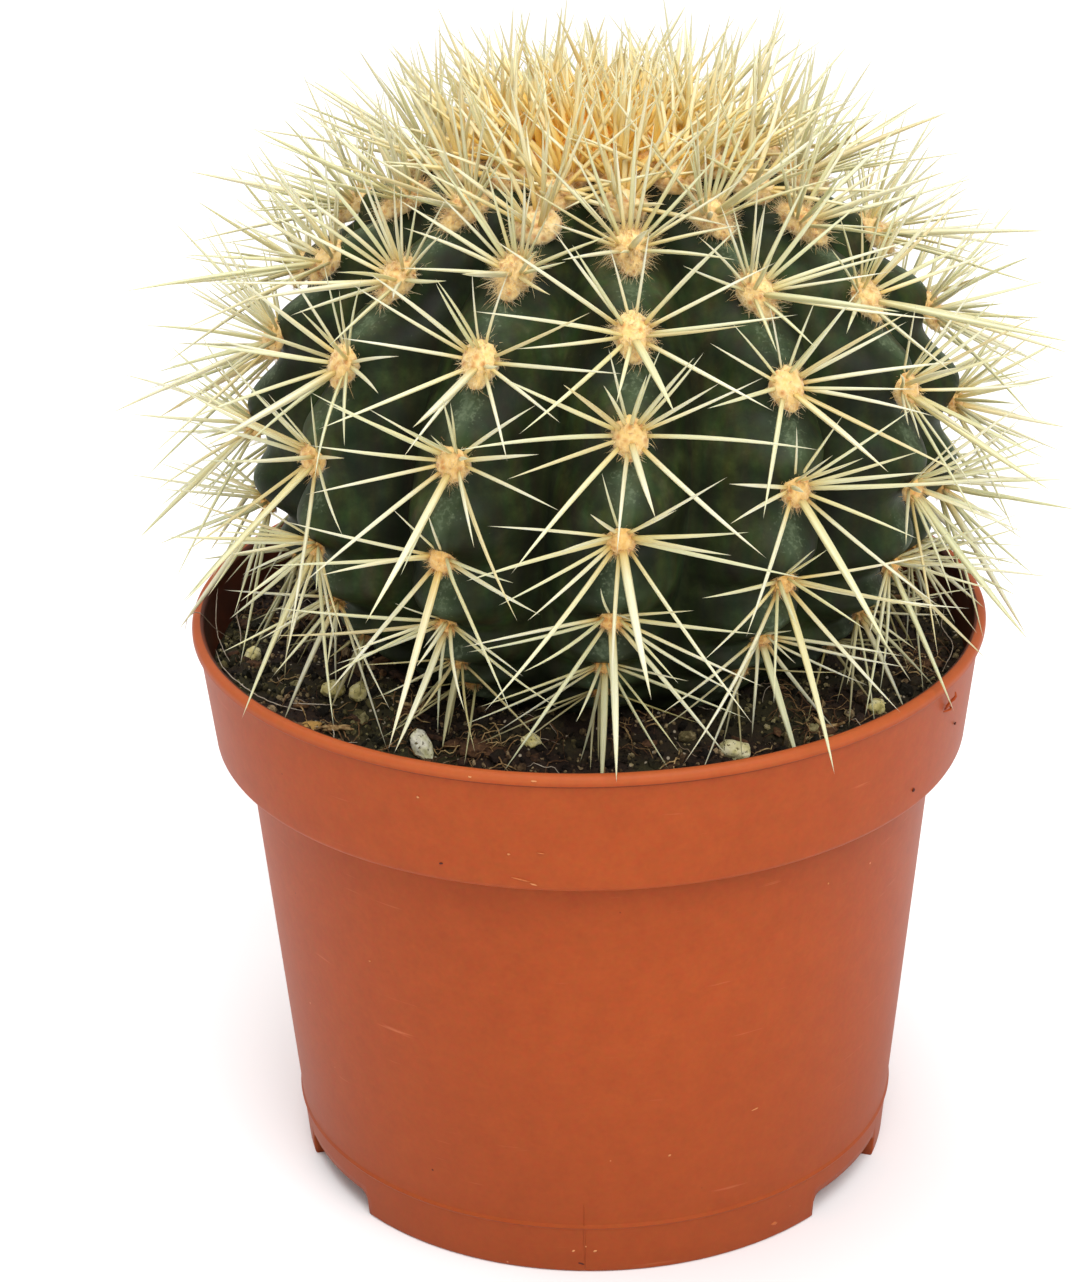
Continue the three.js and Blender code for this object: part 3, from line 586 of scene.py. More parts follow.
# %% Ribs and areoles
STEM_X = 2.5  # the plant stands a little off the pot's axis
STEM_CENTRE_Z = 119.7
STEM_RADIUS = 51
STEM_HALF_HEIGHT = 42.3
FOOT_LATITUDE = -56
RIB_COUNT = 13
RIB_TWIST = 5.3  # degrees of azimuth for each radian of latitude
FIRST_RIB_AZIMUTH = 2
AREOLE_SPACING = 13.9
AREOLE_CROWDING = 0.19  # millimetres less for each degree below the widest place
GROWN_AREOLES = 7  # on each rib, below the crown
TOP_AREOLE_LATITUDES = (55.4, 60.1, 52.7, 57.5, 49, 62, 54, 58.5, 50.5, 61, 56.7, 60.6, 49.8)
YOUNG_SPACING = 8.2  # the first gap above the topmost grown areole
YOUNG_SHRINK = 0.8  # each gap further up is this much smaller
YOUNGEST_LATITUDE = 85


def stem_radius(latitude):
    """Radius over the ribs at a latitude."""
    return STEM_RADIUS * np.cos(np.radians(latitude))


def stem_height(latitude):
    """Height of a latitude over the ground."""
    return STEM_CENTRE_Z + STEM_HALF_HEIGHT * np.sin(np.radians(latitude))


def arc_rate(latitude):
    """Millimetres along the skin for each degree of latitude."""
    angle = np.radians(latitude)
    return np.radians(np.hypot(STEM_RADIUS * np.sin(angle), STEM_HALF_HEIGHT * np.cos(angle)))


def areole_spacing(latitude):
    """Millimetres down the rib from an areole to the next one."""
    return AREOLE_SPACING - AREOLE_CROWDING * max(0, -latitude)


def rib_latitudes(top_latitude):
    """A rib's young and grown areoles, each from the crown downwards."""
    grown = [top_latitude]
    while len(grown) < GROWN_AREOLES:
        halfway = grown[-1] - areole_spacing(grown[-1]) / arc_rate(grown[-1]) / 2
        grown.append(grown[-1] - areole_spacing(halfway) / arc_rate(halfway))
    young = []
    spacing = YOUNG_SPACING
    latitude = top_latitude + spacing / arc_rate(top_latitude)
    while latitude < YOUNGEST_LATITUDE:
        young.insert(0, latitude)
        spacing *= YOUNG_SHRINK
        latitude += spacing / arc_rate(latitude)
    return young, grown


def twist(latitude):
    """How far a rib has turned round the stem at a latitude, in degrees."""
    return RIB_TWIST * np.radians(latitude)


ribs = []
for i, top_latitude in enumerate(TOP_AREOLE_LATITUDES):
    young, grown = rib_latitudes(top_latitude)
    ribs.append({"azimuth": FIRST_RIB_AZIMUTH + i * 360 / RIB_COUNT, "young": young, "grown": grown})
print("areoles:", sum(len(rib["grown"]) for rib in ribs), "grown and",
      sum(len(rib["young"]) for rib in ribs), "young")

# %% [markdown]
# ## The skin
#
# Between two ribs the skin folds into a sharp furrow, and the crest of a rib swells and pinches from
# one areole to the next. Both are waves: a cosine across the ribs, and a sine that runs once from
# each areole to the next one down the rib.
#
# While the net is made, three numbers are kept for the skin's material: how deep in a furrow a point
# lies, how near it is to the mealy patch under an areole, and how old the tissue is.

# %% Skin mesh
COLUMNS_PER_RIB = 24
SKIN_ROWS = 230
TOP_LATITUDE = 89.2  # of the first row of points, close round the growing point
RIB_DEPTH = 0.175  # of the radius, at the widest place
DEEPER_AT_CROWN = 0.35  # how much deeper than that the furrows are near the crown
SWELLING = 1.4 / math.sin(math.radians(60))  # 1.4 mm at a third of the way to the next areole
NECK = ((24, 81.5), (20, 79), (15, 76.8), (11, 75), (8, 70), (7, 62.3))  # the buried foot
CROWN_DIP = 1.8  # the growing point lies in a shallow dip
SKIN_UNEVENNESS = 0.22
UNEVENNESS_SIZE = 5  # millimetres from one bump to the next
MEALY_BELOW = 6.3  # the middle of a mealy patch, below its areole
MEALY_LENGTH = 3.7
MEALY_WIDTH = 2.6
OLD_DEPTH = 75  # tissue this far below the top of the stem is the oldest


def phase_down_rib(rib, latitude):
    """How far a latitude lies on the way from an areole (0) to the next (1), and how long that is."""
    stations = np.array(rib["young"] + rib["grown"])
    beyond = np.arange(1, 4)  # the row of areoles is thought to go on past both ends of the rib
    low = stations[-1] - (stations[-2] - stations[-1]) * beyond
    high = stations[0] + 3 * beyond[::-1]
    stations = np.concatenate([high, stations, low])
    place = np.interp(-np.asarray(latitude, float), -stations, np.arange(len(stations)))
    index = np.minimum(place.astype(int), len(stations) - 2)
    gap = (stations[index] - stations[index + 1]) * arc_rate(latitude)
    return place - index, gap


def crown_dip(latitude):
    """How far the skin round the growing point lies below the ellipsoid."""
    return CROWN_DIP * smoothstep(latitude, 66, 86)


def ribbed_globe(latitudes, columns):
    """The globe's points, and for each how deep in a furrow and how near a mealy patch it lies."""
    points = np.zeros((len(latitudes), columns, 3))
    furrows, mealy = np.zeros((2, len(latitudes), columns))
    depth = RIB_DEPTH * (1 + DEEPER_AT_CROWN * smoothstep(latitudes, 30, 70))
    depth = depth * smoothstep(latitudes, FOOT_LATITUDE, -20)
    swelling = SWELLING * smoothstep(stem_radius(latitudes), 18, 32)
    for column in range(columns):
        rib_number, share = divmod(column / COLUMNS_PER_RIB, 1)
        nearest = ribs[int(rib_number + (share > 0.5)) % RIB_COUNT]
        phase, gap = phase_down_rib(nearest, latitudes)
        furrow = 1 - abs(math.cos(math.pi * share))
        radius = stem_radius(latitudes) * (1 - depth * furrow)
        radius -= swelling * np.sin(2 * np.pi * phase) * (1 - furrow)
        azimuth = FIRST_RIB_AZIMUTH + column / columns * 360 + twist(latitudes)
        points[:, column] = outward(azimuth) * radius[:, None]
        from_crest = min(share, 1 - share) * 2 * math.pi / RIB_COUNT * stem_radius(latitudes)
        off_patch = np.hypot((phase * gap - MEALY_BELOW) / MEALY_LENGTH, from_crest / MEALY_WIDTH)
        furrows[:, column] = furrow
        mealy[:, column] = np.exp(-off_patch ** 2)
    points[:, :, 0] += STEM_X
    points[:, :, 2] = (stem_height(latitudes) - crown_dip(latitudes))[:, None]
    return points.reshape(-1, 3), furrows.ravel(), mealy.ravel()


def skin_net():
    """The globe and its neck as one closed net, a little uneven all over."""
    columns = RIB_COUNT * COLUMNS_PER_RIB
    globe, furrows, mealy = ribbed_globe(np.linspace(TOP_LATITUDE, FOOT_LATITUDE, SKIN_ROWS), columns)
    neck = [level_ring(radius, z, columns, STEM_X) for radius, z in NECK]
    points = np.concatenate([globe, *neck])
    away = unit(points - (STEM_X, 0, STEM_CENTRE_Z))
    for i, point in enumerate(points):
        points[i] += away[i] * SKIN_UNEVENNESS * noise.noise(Vector(point / UNEVENNESS_SIZE))
    faces = grid_faces(SKIN_ROWS + len(NECK), columns)
    faces.append(tuple(range(columns)))
    faces.append(tuple(range(len(points) - 1, len(points) - columns - 1, -1)))
    buried = np.zeros(len(NECK) * columns)
    top = STEM_CENTRE_Z + STEM_HALF_HEIGHT
    net = Net("furrow", "mealy", "age")
    net.add(points, faces, furrow=np.concatenate([furrows, buried]),
            mealy=np.concatenate([mealy, buried]), age=np.clip((top - points[:, 2]) / OLD_DEPTH, 0, 1))
    return net


stem_net = skin_net()
print("points in the skin's net:", stem_net.count)

# %% [markdown]
# ### Waxy cactus skin
#
# The skin is a tough green layer under a cuticle of wax, which makes it nearly black and gives it a
# soft sheen. Below each areole a mealy, grey-green patch of worn wax and tiny scales shows. Old tissue
# near the soil is duller, and the furrows stay dark because little light gets into them.

# %% Green skin
SKIN_CLOUD = 9 * MM
STREAK_SCALE = (520, 520, 60)  # per metre: fine streaks that run up the ribs

cactus_skin, tree, furrow, mealy, age = new_material("waxy_cactus_skin", "furrow", "mealy", "age")
place = add_node(tree, "TexCoord").outputs["Object"]
cloud = add_node(tree, "TexNoise", {"Vector": place, "Scale": 1 / SKIN_CLOUD, "Detail": 5,
                                    "Roughness": 0.6})
stretched = add_node(tree, "Mapping", {"Vector": place, "Scale": STREAK_SCALE})
streaks = add_node(tree, "TexNoise", {"Vector": stretched, "Scale": 1, "Detail": 3})
green = add_node(tree, "ValToRGB", {"Fac": cloud}, stops=[
    (0.32, linear("13170a")), (0.47, linear("1f2512")), (0.6, linear("30381d")),
    (0.74, linear("4b4f30"))])
streaked = add_node(tree, "Mix", {FACTOR: 0.62, COLOUR_A: green,
                                  COLOUR_B: streaks.outputs["Color"]},
                    data_type="RGBA", blend_type="SOFT_LIGHT")
print("nodes of the plain skin:", len(tree.nodes))

# %% [markdown]
# The numbers that the net keeps say where the rest goes. The mealy patch is made of dots, dense in
# its middle and scattered round it, with a faint bloom under them.

# %% Mealy patches, age, furrow shadow and painted highlight
SCALE_DOT = 0.5 * MM
SCALE_CLUSTER = 2.2 * MM

in_furrow = add_node(tree, "MapRange", {"Value": furrow, "From Min": 0.55, "From Max": 1})
shadow = add_node(tree, "Math", {0: in_furrow, 1: 0.35}, operation="MULTIPLY")
dots = add_node(tree, "TexNoise", {"Vector": place, "Scale": 1 / SCALE_DOT, "Detail": 4})
clusters = add_node(tree, "TexNoise", {"Vector": place, "Scale": 1 / SCALE_CLUSTER, "Detail": 3})
uneven = add_node(tree, "Math", {0: mealy, 1: clusters}, operation="MULTIPLY")
edge = add_node(tree, "MapRange", {"Value": uneven, "From Max": 0.55, "To Min": 0.74,
                                   "To Max": 0.4})
above = add_node(tree, "Math", {0: dots, 1: edge}, operation="SUBTRACT")
powder = add_node(tree, "MapRange", {"Value": above, "From Max": 0.26, "To Max": 0.6})
bloom = add_node(tree, "MapRange", {"Value": uneven, "From Max": 0.6, "To Max": 0.55})
# A painted highlight makes the sharp crest of each rib a little paler.
crest = add_node(tree, "MapRange", {"Value": furrow, "From Min": 0.02, "From Max": 0, "To Max": 0.5})
painted_highlight = add_node(tree, "Math", {0: crest, 1: clusters}, operation="MULTIPLY")
painted_low_shade_and_age = add_node(tree, "MapRange", {"Value": age, "From Min": 0.7, "From Max": 1, "To Max": 0.35})
print("nodes with patches and wear:", len(tree.nodes))

# %% [markdown]
# The shares are laid over the green one by one, as on the pot. Wax is glossy where it is whole, so
# the roughness follows the clouds, and the furrows are matte.

# %% Skin material
PORE = 0.35 * MM  # true pores are ten times finer; drawn so that the sheen breaks up

# Of these coats, the furrow shadow is painted shade and the paler crest a painted highlight.
colour = streaked
for share, coat in ((shadow, "131509"), (powder, "8c987a"), (bloom, "53634a"), (painted_highlight, "5c6b50"),
                    (painted_low_shade_and_age, "2c2f22")):
    colour = add_node(tree, "Mix", {FACTOR: share, COLOUR_A: colour, COLOUR_B: linear(coat)},
                      data_type="RGBA")
pores = add_node(tree, "TexNoise", {"Vector": place, "Scale": 1 / PORE, "Detail": 2})
relief = add_node(tree, "Bump", {"Height": pores, "Strength": 0.25, "Distance": 0.08 * MM})
shine = add_node(tree, "MapRange", {"Value": cloud, "To Min": 0.34, "To Max": 0.6})
gloss = add_node(tree, "Mix", {FACTOR: in_furrow, NUMBER_A: shine, NUMBER_B: 0.95})
shader = add_node(tree, "BsdfPrincipled", {
    "Base Color": colour, "Roughness": gloss, "IOR": 1.45,
    "Specular IOR Level": 0.13, "Normal": relief})
add_node(tree, "OutputMaterial", {"Surface": shader})

skin = add_piece("cactus_skin", stem_net, cactus_skin)
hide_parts("cactus_stem")

# %% [markdown]
# ## Where an areole sits
#
# Everything on an areole is placed in its own little frame: the skin's normal, the way up the rib and
# the way across it. Angles are counted from the way up the rib, like the hands of a clock.

# %% Areole frames
def areole_seat(rib, latitude):
    """The frame of an areole: its place, the skin's normal, and the ways up and across the rib."""
    azimuth = rib["azimuth"] + twist(latitude)
    away = outward(azimuth)
    normal = unit(away * math.cos(math.radians(latitude)) * STEM_HALF_HEIGHT
                  + UP * math.sin(math.radians(latitude)) * STEM_RADIUS)
    sideways = unit(np.cross(UP, away))
    height = stem_height(latitude) - crown_dip(latitude)
    place = away * stem_radius(latitude) + (STEM_X, 0, height)
    return {"latitude": latitude, "place": place, "normal": normal, "sideways": sideways,
            "up_rib": unit(np.cross(normal, sideways)), "away": away}


def on_seat(seat, angle, radius, height):
    """A point by the clock angle and distance from the areole's middle, and height over the skin."""
    turn = math.radians(angle)
    return (seat["place"] + seat["up_rib"] * radius * math.cos(turn)
            + seat["sideways"] * radius * math.sin(turn) + seat["normal"] * height)


grown_seats = [areole_seat(rib, latitude) for rib in ribs for latitude in rib["grown"]]
young_seats = [areole_seat(rib, latitude) for rib in ribs for latitude in rib["young"]]
print("highest grown areole in mm:", round(max(s["place"][2] for s in grown_seats), 1))

# %% [markdown]
# ## Spines
#
# A spine is a leaf that has turned into a stiff blade: flattened, slightly curved, with fine lines
# along it, and sharp. Fifteen or so stand in a star on each areole: two thin ones up the rib, pairs
# to the sides, two long ones that slant down, and one stout central spine that points down and out.
#
# A hair system could scatter them, but here each one has its own place in the star, so they are made
# one by one as tapering tubes. A rule with a seeded random draw varies them, and each is turned a
# little until it passes clear of the others, of the soil and of the pot.

# %% Room for spines
SOIL_STEM_Z = 85.6
SOIL_SHOULDER_Z = 82.8
SOIL_WALL_Z = 82
SOIL_RADII = (33, 46, 57)  # where the soil's slope from the stem starts, its shoulder, and its edge
SKIN_CLEARANCE = 0.9
SOIL_CLEARANCE = 1.3
RIM_INSET = 0.8  # the middle of the rim lies this far inside its edge
RIM_CLEARANCE = 2.4  # to the sides of the rim's middle
RIM_HEADROOM = 0.9
BOX_MARGIN = 0.4
NEIGHBOURHOOD = 42  # only spines with roots nearer than this are tested against each other
MOST_SPINES = 4000
lowest, highest = [np.array(corner) / MM for corner in cad_box]


def soil_top(radius):
    """Height of the soil at a distance from the pot's axis, before its crumbs."""
    near_stem, shoulder, edge = SOIL_RADII
    slope = SOIL_STEM_Z + (SOIL_SHOULDER_Z - SOIL_STEM_Z) * smoothstep(radius, near_stem, shoulder)
    return slope + (SOIL_WALL_Z - SOIL_SHOULDER_Z) * smoothstep(radius, shoulder, edge)


def is_open(points):
    """True where points are clear of the skin, the soil and the rim, and inside the whole size."""
    x, y, z = points.T
    from_stem = np.hypot(x - STEM_X, y)
    from_pot = np.hypot(x, y)
    off_skin = np.hypot(from_stem / (STEM_RADIUS + SKIN_CLEARANCE),
                        (z - STEM_CENTRE_Z) / (STEM_HALF_HEIGHT + SKIN_CLEARANCE)) > 1
    off_soil = (from_pot > RIM_RADIUS) | (z > soil_top(from_pot) + SOIL_CLEARANCE)
    beside_rim = np.abs(from_pot - RIM_RADIUS + RIM_INSET) > RIM_CLEARANCE
    off_rim = beside_rim | (z > POT_HEIGHT + RIM_HEADROOM)
    inside = ((points > lowest + BOX_MARGIN) & (points < highest - BOX_MARGIN)).all(axis=1)
    return off_skin & off_soil & off_rim & inside


class PlacedSpines:
    """The straight lines of all spines placed so far, to keep new ones clear of them."""

    def __init__(self, room):
        self.starts = np.zeros((room, 3))
        self.ends = np.zeros((room, 3))
        self.owners = np.zeros(room, int)
        self.count = 0

    def add(self, start, end, owner):
        """Keeps a spine's root and tip, and the number of its areole."""
        self.starts[self.count], self.ends[self.count] = start, end
        self.owners[self.count] = owner
        self.count += 1

    def clearance(self, samples, owner):
        """The least distance from sample points to any spine of another areole."""
        others = self.owners[:self.count] != owner
        starts, ends = self.starts[:self.count][others], self.ends[:self.count][others]
        near = np.linalg.norm(starts - samples[0], axis=1) < NEIGHBOURHOOD
        starts, along = starts[near], (ends - starts)[near]
        if not len(starts):
            return FAR_AWAY
        offsets = samples[:, None, :] - starts[None]
        share = np.clip((offsets * along).sum(axis=2) / (along * along).sum(axis=1), 0, 1)
        return np.linalg.norm(offsets - share[:, :, None] * along, axis=2).min()


placed = PlacedSpines(MOST_SPINES)
print("soil height at the stem and at the wall:", soil_top(SOIL_RADII[0]), soil_top(SOIL_RADII[2]))

# %% [markdown]
# A spine's section is a flat blade with a shallow groove on its outer face. It is carried along a
# slightly bent path and drawn to a point. The numbers along it and round it let the material put the
# golden root, the pale blade and the fine lines where they belong.

# %% Spine shape
BLADE = np.array([(1, 0), (0.7, 0.6), (0, 0.5), (-0.7, 0.6), (-1, 0), (-0.62, -0.6), (0, -0.8),
                  (0.62, -0.6)])
SPINE_RINGS = 9
SPINE_VALUES = ("along", "round", "edge", "tone", "age")
LAST_RING = 0.94  # the share of a spine's length where its last ring stands, before the tip
TAPER = 2.8  # a high power keeps the blade broad and draws it to a point near its tip
SPINE_CLEARANCE = 1.1
SPINE_TRIES = 16
STEEPEST = 86  # degrees off the skin
CUT_BACK = 0.45  # the most that is taken off a spine's length to find a free way
SIDE_BEND = 0.035  # both bends are shares of the length
DROOP = 0.03


def blade_faces(rings, sides):
    """Faces of a tube that is closed flat at its root and runs to a point, which comes last."""
    faces = [tuple(reversed(range(sides)))]
    faces += [tuple(reversed(face)) for face in grid_faces(rings, sides)]
    tip = rings * sides
    faces += [(tip - sides + i, tip - sides + (i + 1) % sides, tip) for i in range(sides)]
    return faces


def add_spine(net, root, direction, length, width, facing, bend, **values):
    """Adds one spine: width is half its breadth at the root, bend moves its tip sideways."""
    rings = values.pop("rings", SPINE_RINGS)
    shares = np.linspace(0, LAST_RING, rings)
    path = root + np.outer(np.append(shares, 1) * length, direction)
    path += np.outer(np.append(shares, 1) ** 2 * length, bend)
    tangents = unit(direction + 2 * np.outer(shares, bend))
    across = unit(np.cross(tangents, facing))
    outer = np.cross(across, tangents)
    breadth = width * (1 - shares ** TAPER) * (0.88 + 0.12 * smoothstep(shares, 0, 0.3))
    rows = (path[:-1, None] + across[:, None] * (BLADE[:, 0] * breadth[:, None])[..., None]
            + outer[:, None] * (BLADE[:, 1] * breadth[:, None])[..., None])
    points = np.concatenate([rows.reshape(-1, 3), path[-1:]])
    sides = len(BLADE)
    net.add(points, blade_faces(rings, sides),
            along=np.append(np.repeat(shares, sides), 1),
            round=np.append(np.tile(np.arange(sides) / sides, rings), 0),
            edge=np.append(np.tile(np.abs(BLADE[:, 0]), rings), 0.5), **values)


def place_spine(net, seat, number, root, angle, lift, length, width, random, tones=1.0,
                clear=SPINE_CLEARANCE, steepest=STEEPEST, **values):
    """Finds a free way for one spine, first as it should stand and then steeper and shorter."""
    best = None
    for attempt in range(SPINE_TRIES):
        share = attempt / SPINE_TRIES
        turn = math.radians(angle + (5 + 8 * share) * random.uniform(-1, 1))
        steep = math.radians(lift + (steepest - lift) * share ** 1.5 + 4 * random.uniform(-1, 1))
        flat = seat["up_rib"] * math.cos(turn) + seat["sideways"] * math.sin(turn)
        direction = flat * math.cos(steep) + seat["normal"] * math.sin(steep)
        reach = length * (1 - CUT_BACK * share)
        bend = np.cross(direction, random.normal(size=3)) * SIDE_BEND
        bend -= seat["normal"] * DROOP
        shares = np.linspace(0.2, 1, 9)[:, None]
        samples = root + direction * reach * shares + bend * reach * shares ** 2
        if not is_open(samples).all():
            continue
        room = placed.clearance(samples, number)
        if best is None or room > best[0]:
            best = (room, direction, reach, bend)
        if room > clear:
            break
    if best is None:
        return False
    _, direction, reach, bend = best
    placed.add(root, root + (direction + bend) * reach, number)
    add_spine(net, root, direction, reach, width, seat["normal"], bend,
              tone=random.uniform(0, tones), **values)
    return True


print("faces of one spine:", len(blade_faces(SPINE_RINGS, len(BLADE))))

# %% [markdown]
# The star of a grown areole is a short list: the clock angle, the length in millimetres, the lift off
# the skin in degrees, half the breadth at the root, and how often that spine is there at all. Near
# the crown the same star stands more upright, because the areoles there have only just opened.

# %% Spines of the grown areoles
STAR = (
    (-12, 13, 36, 0.22, 0.9),
    (14, 13.5, 36, 0.22, 0.9),
    (-46, 18, 34, 0.27, 0.5),
    (50, 19.5, 32, 0.29, 0.7),
    (-70, 22, 30, 0.31, 1),
    (76, 21, 30, 0.31, 1),
    (-91, 23, 26, 0.32, 1),
    (97, 24, 25, 0.33, 1),
    (-112, 19, 28, 0.29, 0.4),
    (115, 20, 28, 0.29, 0.4),
    (-138, 26, 27, 0.35, 1),
    (141, 26.5, 27, 0.35, 1),
    (-168, 18, 32, 0.3, 0.8),
    (-60, 22, 58, 0.34, 0.85),
    (68, 22, 60, 0.34, 0.85),
    (178, 27.5, 46, 0.62, 1),
)
UPRIGHT_STAR = (  # these stand nearly straight out, more of them the nearer to the crown
    (-25, 19, 60, 0.3, 0.5),
    (35, 19, 60, 0.3, 0.5),
    (-115, 21, 54, 0.31, 0.55),
    (125, 21, 54, 0.31, 0.55),
    (5, 20, 74, 0.33, 0.4),
)
SPINE_ROOT_RADIUS = 0.9
CENTRAL_WIDTH = 0.6  # spines wider than this stand nearer to the areole's middle
CROWN_LIFT = 78  # near the crown spines are lifted part of the way to this angle
CROWN_LIFT_SHARE = 0.4
LOW_SPINES_LOST = 0.5  # the share that the oldest areoles have shed
FULLER_SIDES = 0.35  # fewer spines have been rubbed off at the sides and the back

random = np.random.default_rng(71)
spine_net = Net(*SPINE_VALUES)
spine_count = 0
for number, seat in enumerate(grown_seats):
    crown_share = float(smoothstep(seat["latitude"], 32, 64))
    soil_share = float(smoothstep(-seat["latitude"], 12, 42))
    sheltered = 1 - max(0, -seat["away"][1])  # 0 on the handled front, 1 at the sides and the back
    sheltered *= float(smoothstep(seat["latitude"], -25, 10))
    size = random.uniform(0.93, 1.07) * (1 - 0.25 * soil_share)
    upright = [(*spine[:4], spine[4] + 0.5 * crown_share) for spine in UPRIGHT_STAR]
    for angle, length, lift, width, presence in (*STAR, *upright):
        kept = presence + FULLER_SIDES * sheltered
        kept *= 1 - LOW_SPINES_LOST * soil_share
        if random.uniform() > kept:
            continue
        from_middle = SPINE_ROOT_RADIUS * (0.5 if width > CENTRAL_WIDTH else 1)
        root = on_seat(seat, angle, from_middle, 0.2)
        spine_count += place_spine(
            spine_net, seat, number, root, angle,
            lift + (CROWN_LIFT - lift) * CROWN_LIFT_SHARE * crown_share,
            length * size * random.uniform(0.88, 1.08) * (1 - 0.08 * crown_share),
            width * (1 - 0.35 * soil_share) * random.uniform(0.82, 1.14), random,
            age=soil_share + 0.15 * random.uniform(-1, 1))
print("spines on grown areoles:", spine_count)

# %% [markdown]
# ### Straw-coloured spines
#
# Spines are dead, hard tissue, close to horn: pale straw with a little yellow-green, golden where
# they leave the wool, and drawn with fine lines along the blade. Their surface is smooth enough for a
# thin highlight. The oldest ones, near the soil, are brownish and dull.

# %% Spine colours
horny_spine, tree, along, round_blade, edge, tone, age = new_material(
    "straw_coloured_spine_horn", *SPINE_VALUES)
fade = add_node(tree, "ValToRGB", {"Fac": along}, stops=[
    (0.04, linear("c4923f")), (0.1, linear("d0b878")), (0.25, linear("d4cfaa")),
    (0.7, linear("dad7be")), (0.9, linear("cfc9a8")), (1, linear("a89a74"))])
# Some spines are greener and one in ten is tan. The thin edges of all are yellower than the middle.
greenish = add_node(tree, "MapRange", {"Value": tone, "From Min": 0.3, "From Max": 0.75,
                                       "To Max": 0.6})
is_tan = add_node(tree, "MapRange", {"Value": tone, "From Min": 0.9, "From Max": 0.97,
                                     "To Max": 0.42})
at_edge = add_node(tree, "MapRange", {"Value": edge, "From Min": 0.6, "From Max": 1, "To Max": 0.4})
colour = fade
for share, coat in ((greenish, "c3c698"), (is_tan, "bd975a"), (at_edge, "a69a66")):
    colour = add_node(tree, "Mix", {FACTOR: share, COLOUR_A: colour, COLOUR_B: linear(coat)},
                      data_type="RGBA")
print("nodes for the straw colour:", len(tree.nodes))

# %% [markdown]
# Young spines, whose age is below zero, are blond, and golden from the root upwards. Horn lets a
# little light in, so the shader scatters some of it below the surface: without that the blades look
# like painted tin.

# %% Spine material
YOUNG_GOLD = "f9c64c"
LINES_ROUND = 14  # lines round the blade; real ones are finer
LINE_STRETCH = 3  # how often a line changes along the blade
NOISE_APART = 97  # so far apart in the noise do two spines with unlike tones lie

young = add_node(tree, "MapRange", {"Value": age, "From Min": 0, "From Max": -1, "To Max": 1})
near_root = add_node(tree, "MapRange", {"Value": along, "From Min": 0.85, "From Max": 0.2})
glowing = add_node(tree, "Math", {0: young, 1: near_root}, operation="MULTIPLY")
blonding = add_node(tree, "Math", {0: young, 1: 0.75}, operation="MULTIPLY")
blond_shade = add_node(tree, "ValToRGB", {"Fac": along}, stops=[
    (0.2, linear("ecd280")), (0.8, linear("e3dbb0"))])
blond = add_node(tree, "Mix", {FACTOR: blonding, COLOUR_A: colour,
                               COLOUR_B: blond_shade}, data_type="RGBA")
golden = add_node(tree, "Mix", {FACTOR: glowing, COLOUR_A: blond,
                                COLOUR_B: linear(YOUNG_GOLD)}, data_type="RGBA")
round_lines = add_node(tree, "Math", {0: round_blade, 1: LINES_ROUND}, operation="MULTIPLY")
along_lines = add_node(tree, "Math", {0: along, 1: LINE_STRETCH}, operation="MULTIPLY")
each_spine = add_node(tree, "Math", {0: tone, 1: NOISE_APART}, operation="MULTIPLY")
line_place = add_node(tree, "CombineXYZ", {0: round_lines, 1: along_lines, 2: each_spine})
lines = add_node(tree, "TexNoise", {"Vector": line_place, "Scale": 1, "Detail": 2})
lined = add_node(tree, "Mix", {FACTOR: 0.5, COLOUR_A: golden, COLOUR_B: lines},
                 data_type="RGBA", blend_type="SOFT_LIGHT")
worn = add_node(tree, "MapRange", {"Value": age, "From Min": 0.4, "From Max": 1, "To Max": 0.8})
aged = add_node(tree, "Mix", {FACTOR: worn, COLOUR_A: lined,
                              COLOUR_B: linear("918348")}, data_type="RGBA")
relief = add_node(tree, "Bump", {"Height": lines, "Strength": 0.3, "Distance": 0.08 * MM})
shader = add_node(tree, "BsdfPrincipled", {
    "Base Color": aged, "Roughness": 0.42, "IOR": 1.54,
    "Subsurface Weight": 0.4, "Subsurface Radius": (1, 0.85, 0.5),
    "Subsurface Scale": 0.9 * MM, "Normal": relief})
add_node(tree, "OutputMaterial", {"Surface": shader})

spines = add_piece("grown_spines", spine_net, horny_spine)
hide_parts("cactus_stem")

# %% [markdown]
# ## Wool of the areoles
#
# An areole is a cushion of short felt from which the spines rise. The felt is made twice: a low,
# lumpy dome gives the cushion its body, and short hairs on it break up the outline. The hairs are
# thicker than real ones, which would be too fine to show. A smaller cushion, the tail, sits at the
# lower edge of each, so that the two together are pear-shaped.

# %% Wool pads
HAIR_SECTION = np.array([(1, 0), (-0.5, 0.87), (-0.5, -0.87)])
HAIR_THICKNESS = 0.042
HAIR_SHARES = np.array([0, 0.5, 0.85])  # where a hair's rings of points stand
WOOL_VALUES = ("tone", "age")
PAD_RINGS = 7
PAD_SIDES = 18
PAD_LUMPINESS = 0.14
PAD_WIDTHS = ((-44, -14, 2, 20, 55), (1.2, 2, 2.45, 2.95, 3.25))  # latitudes and half widths
PAD_THICKNESS = 0.72  # of the half width
UNDER_WOOL = 0.86  # the dome's share of the cushion's width; hairs make up the rest
WOOL_ROOTS = 0.88
TAIL_DROPS = ((20, 38, 55), (0.45, 0.6, 0.72))  # latitudes and shares of the pad's height


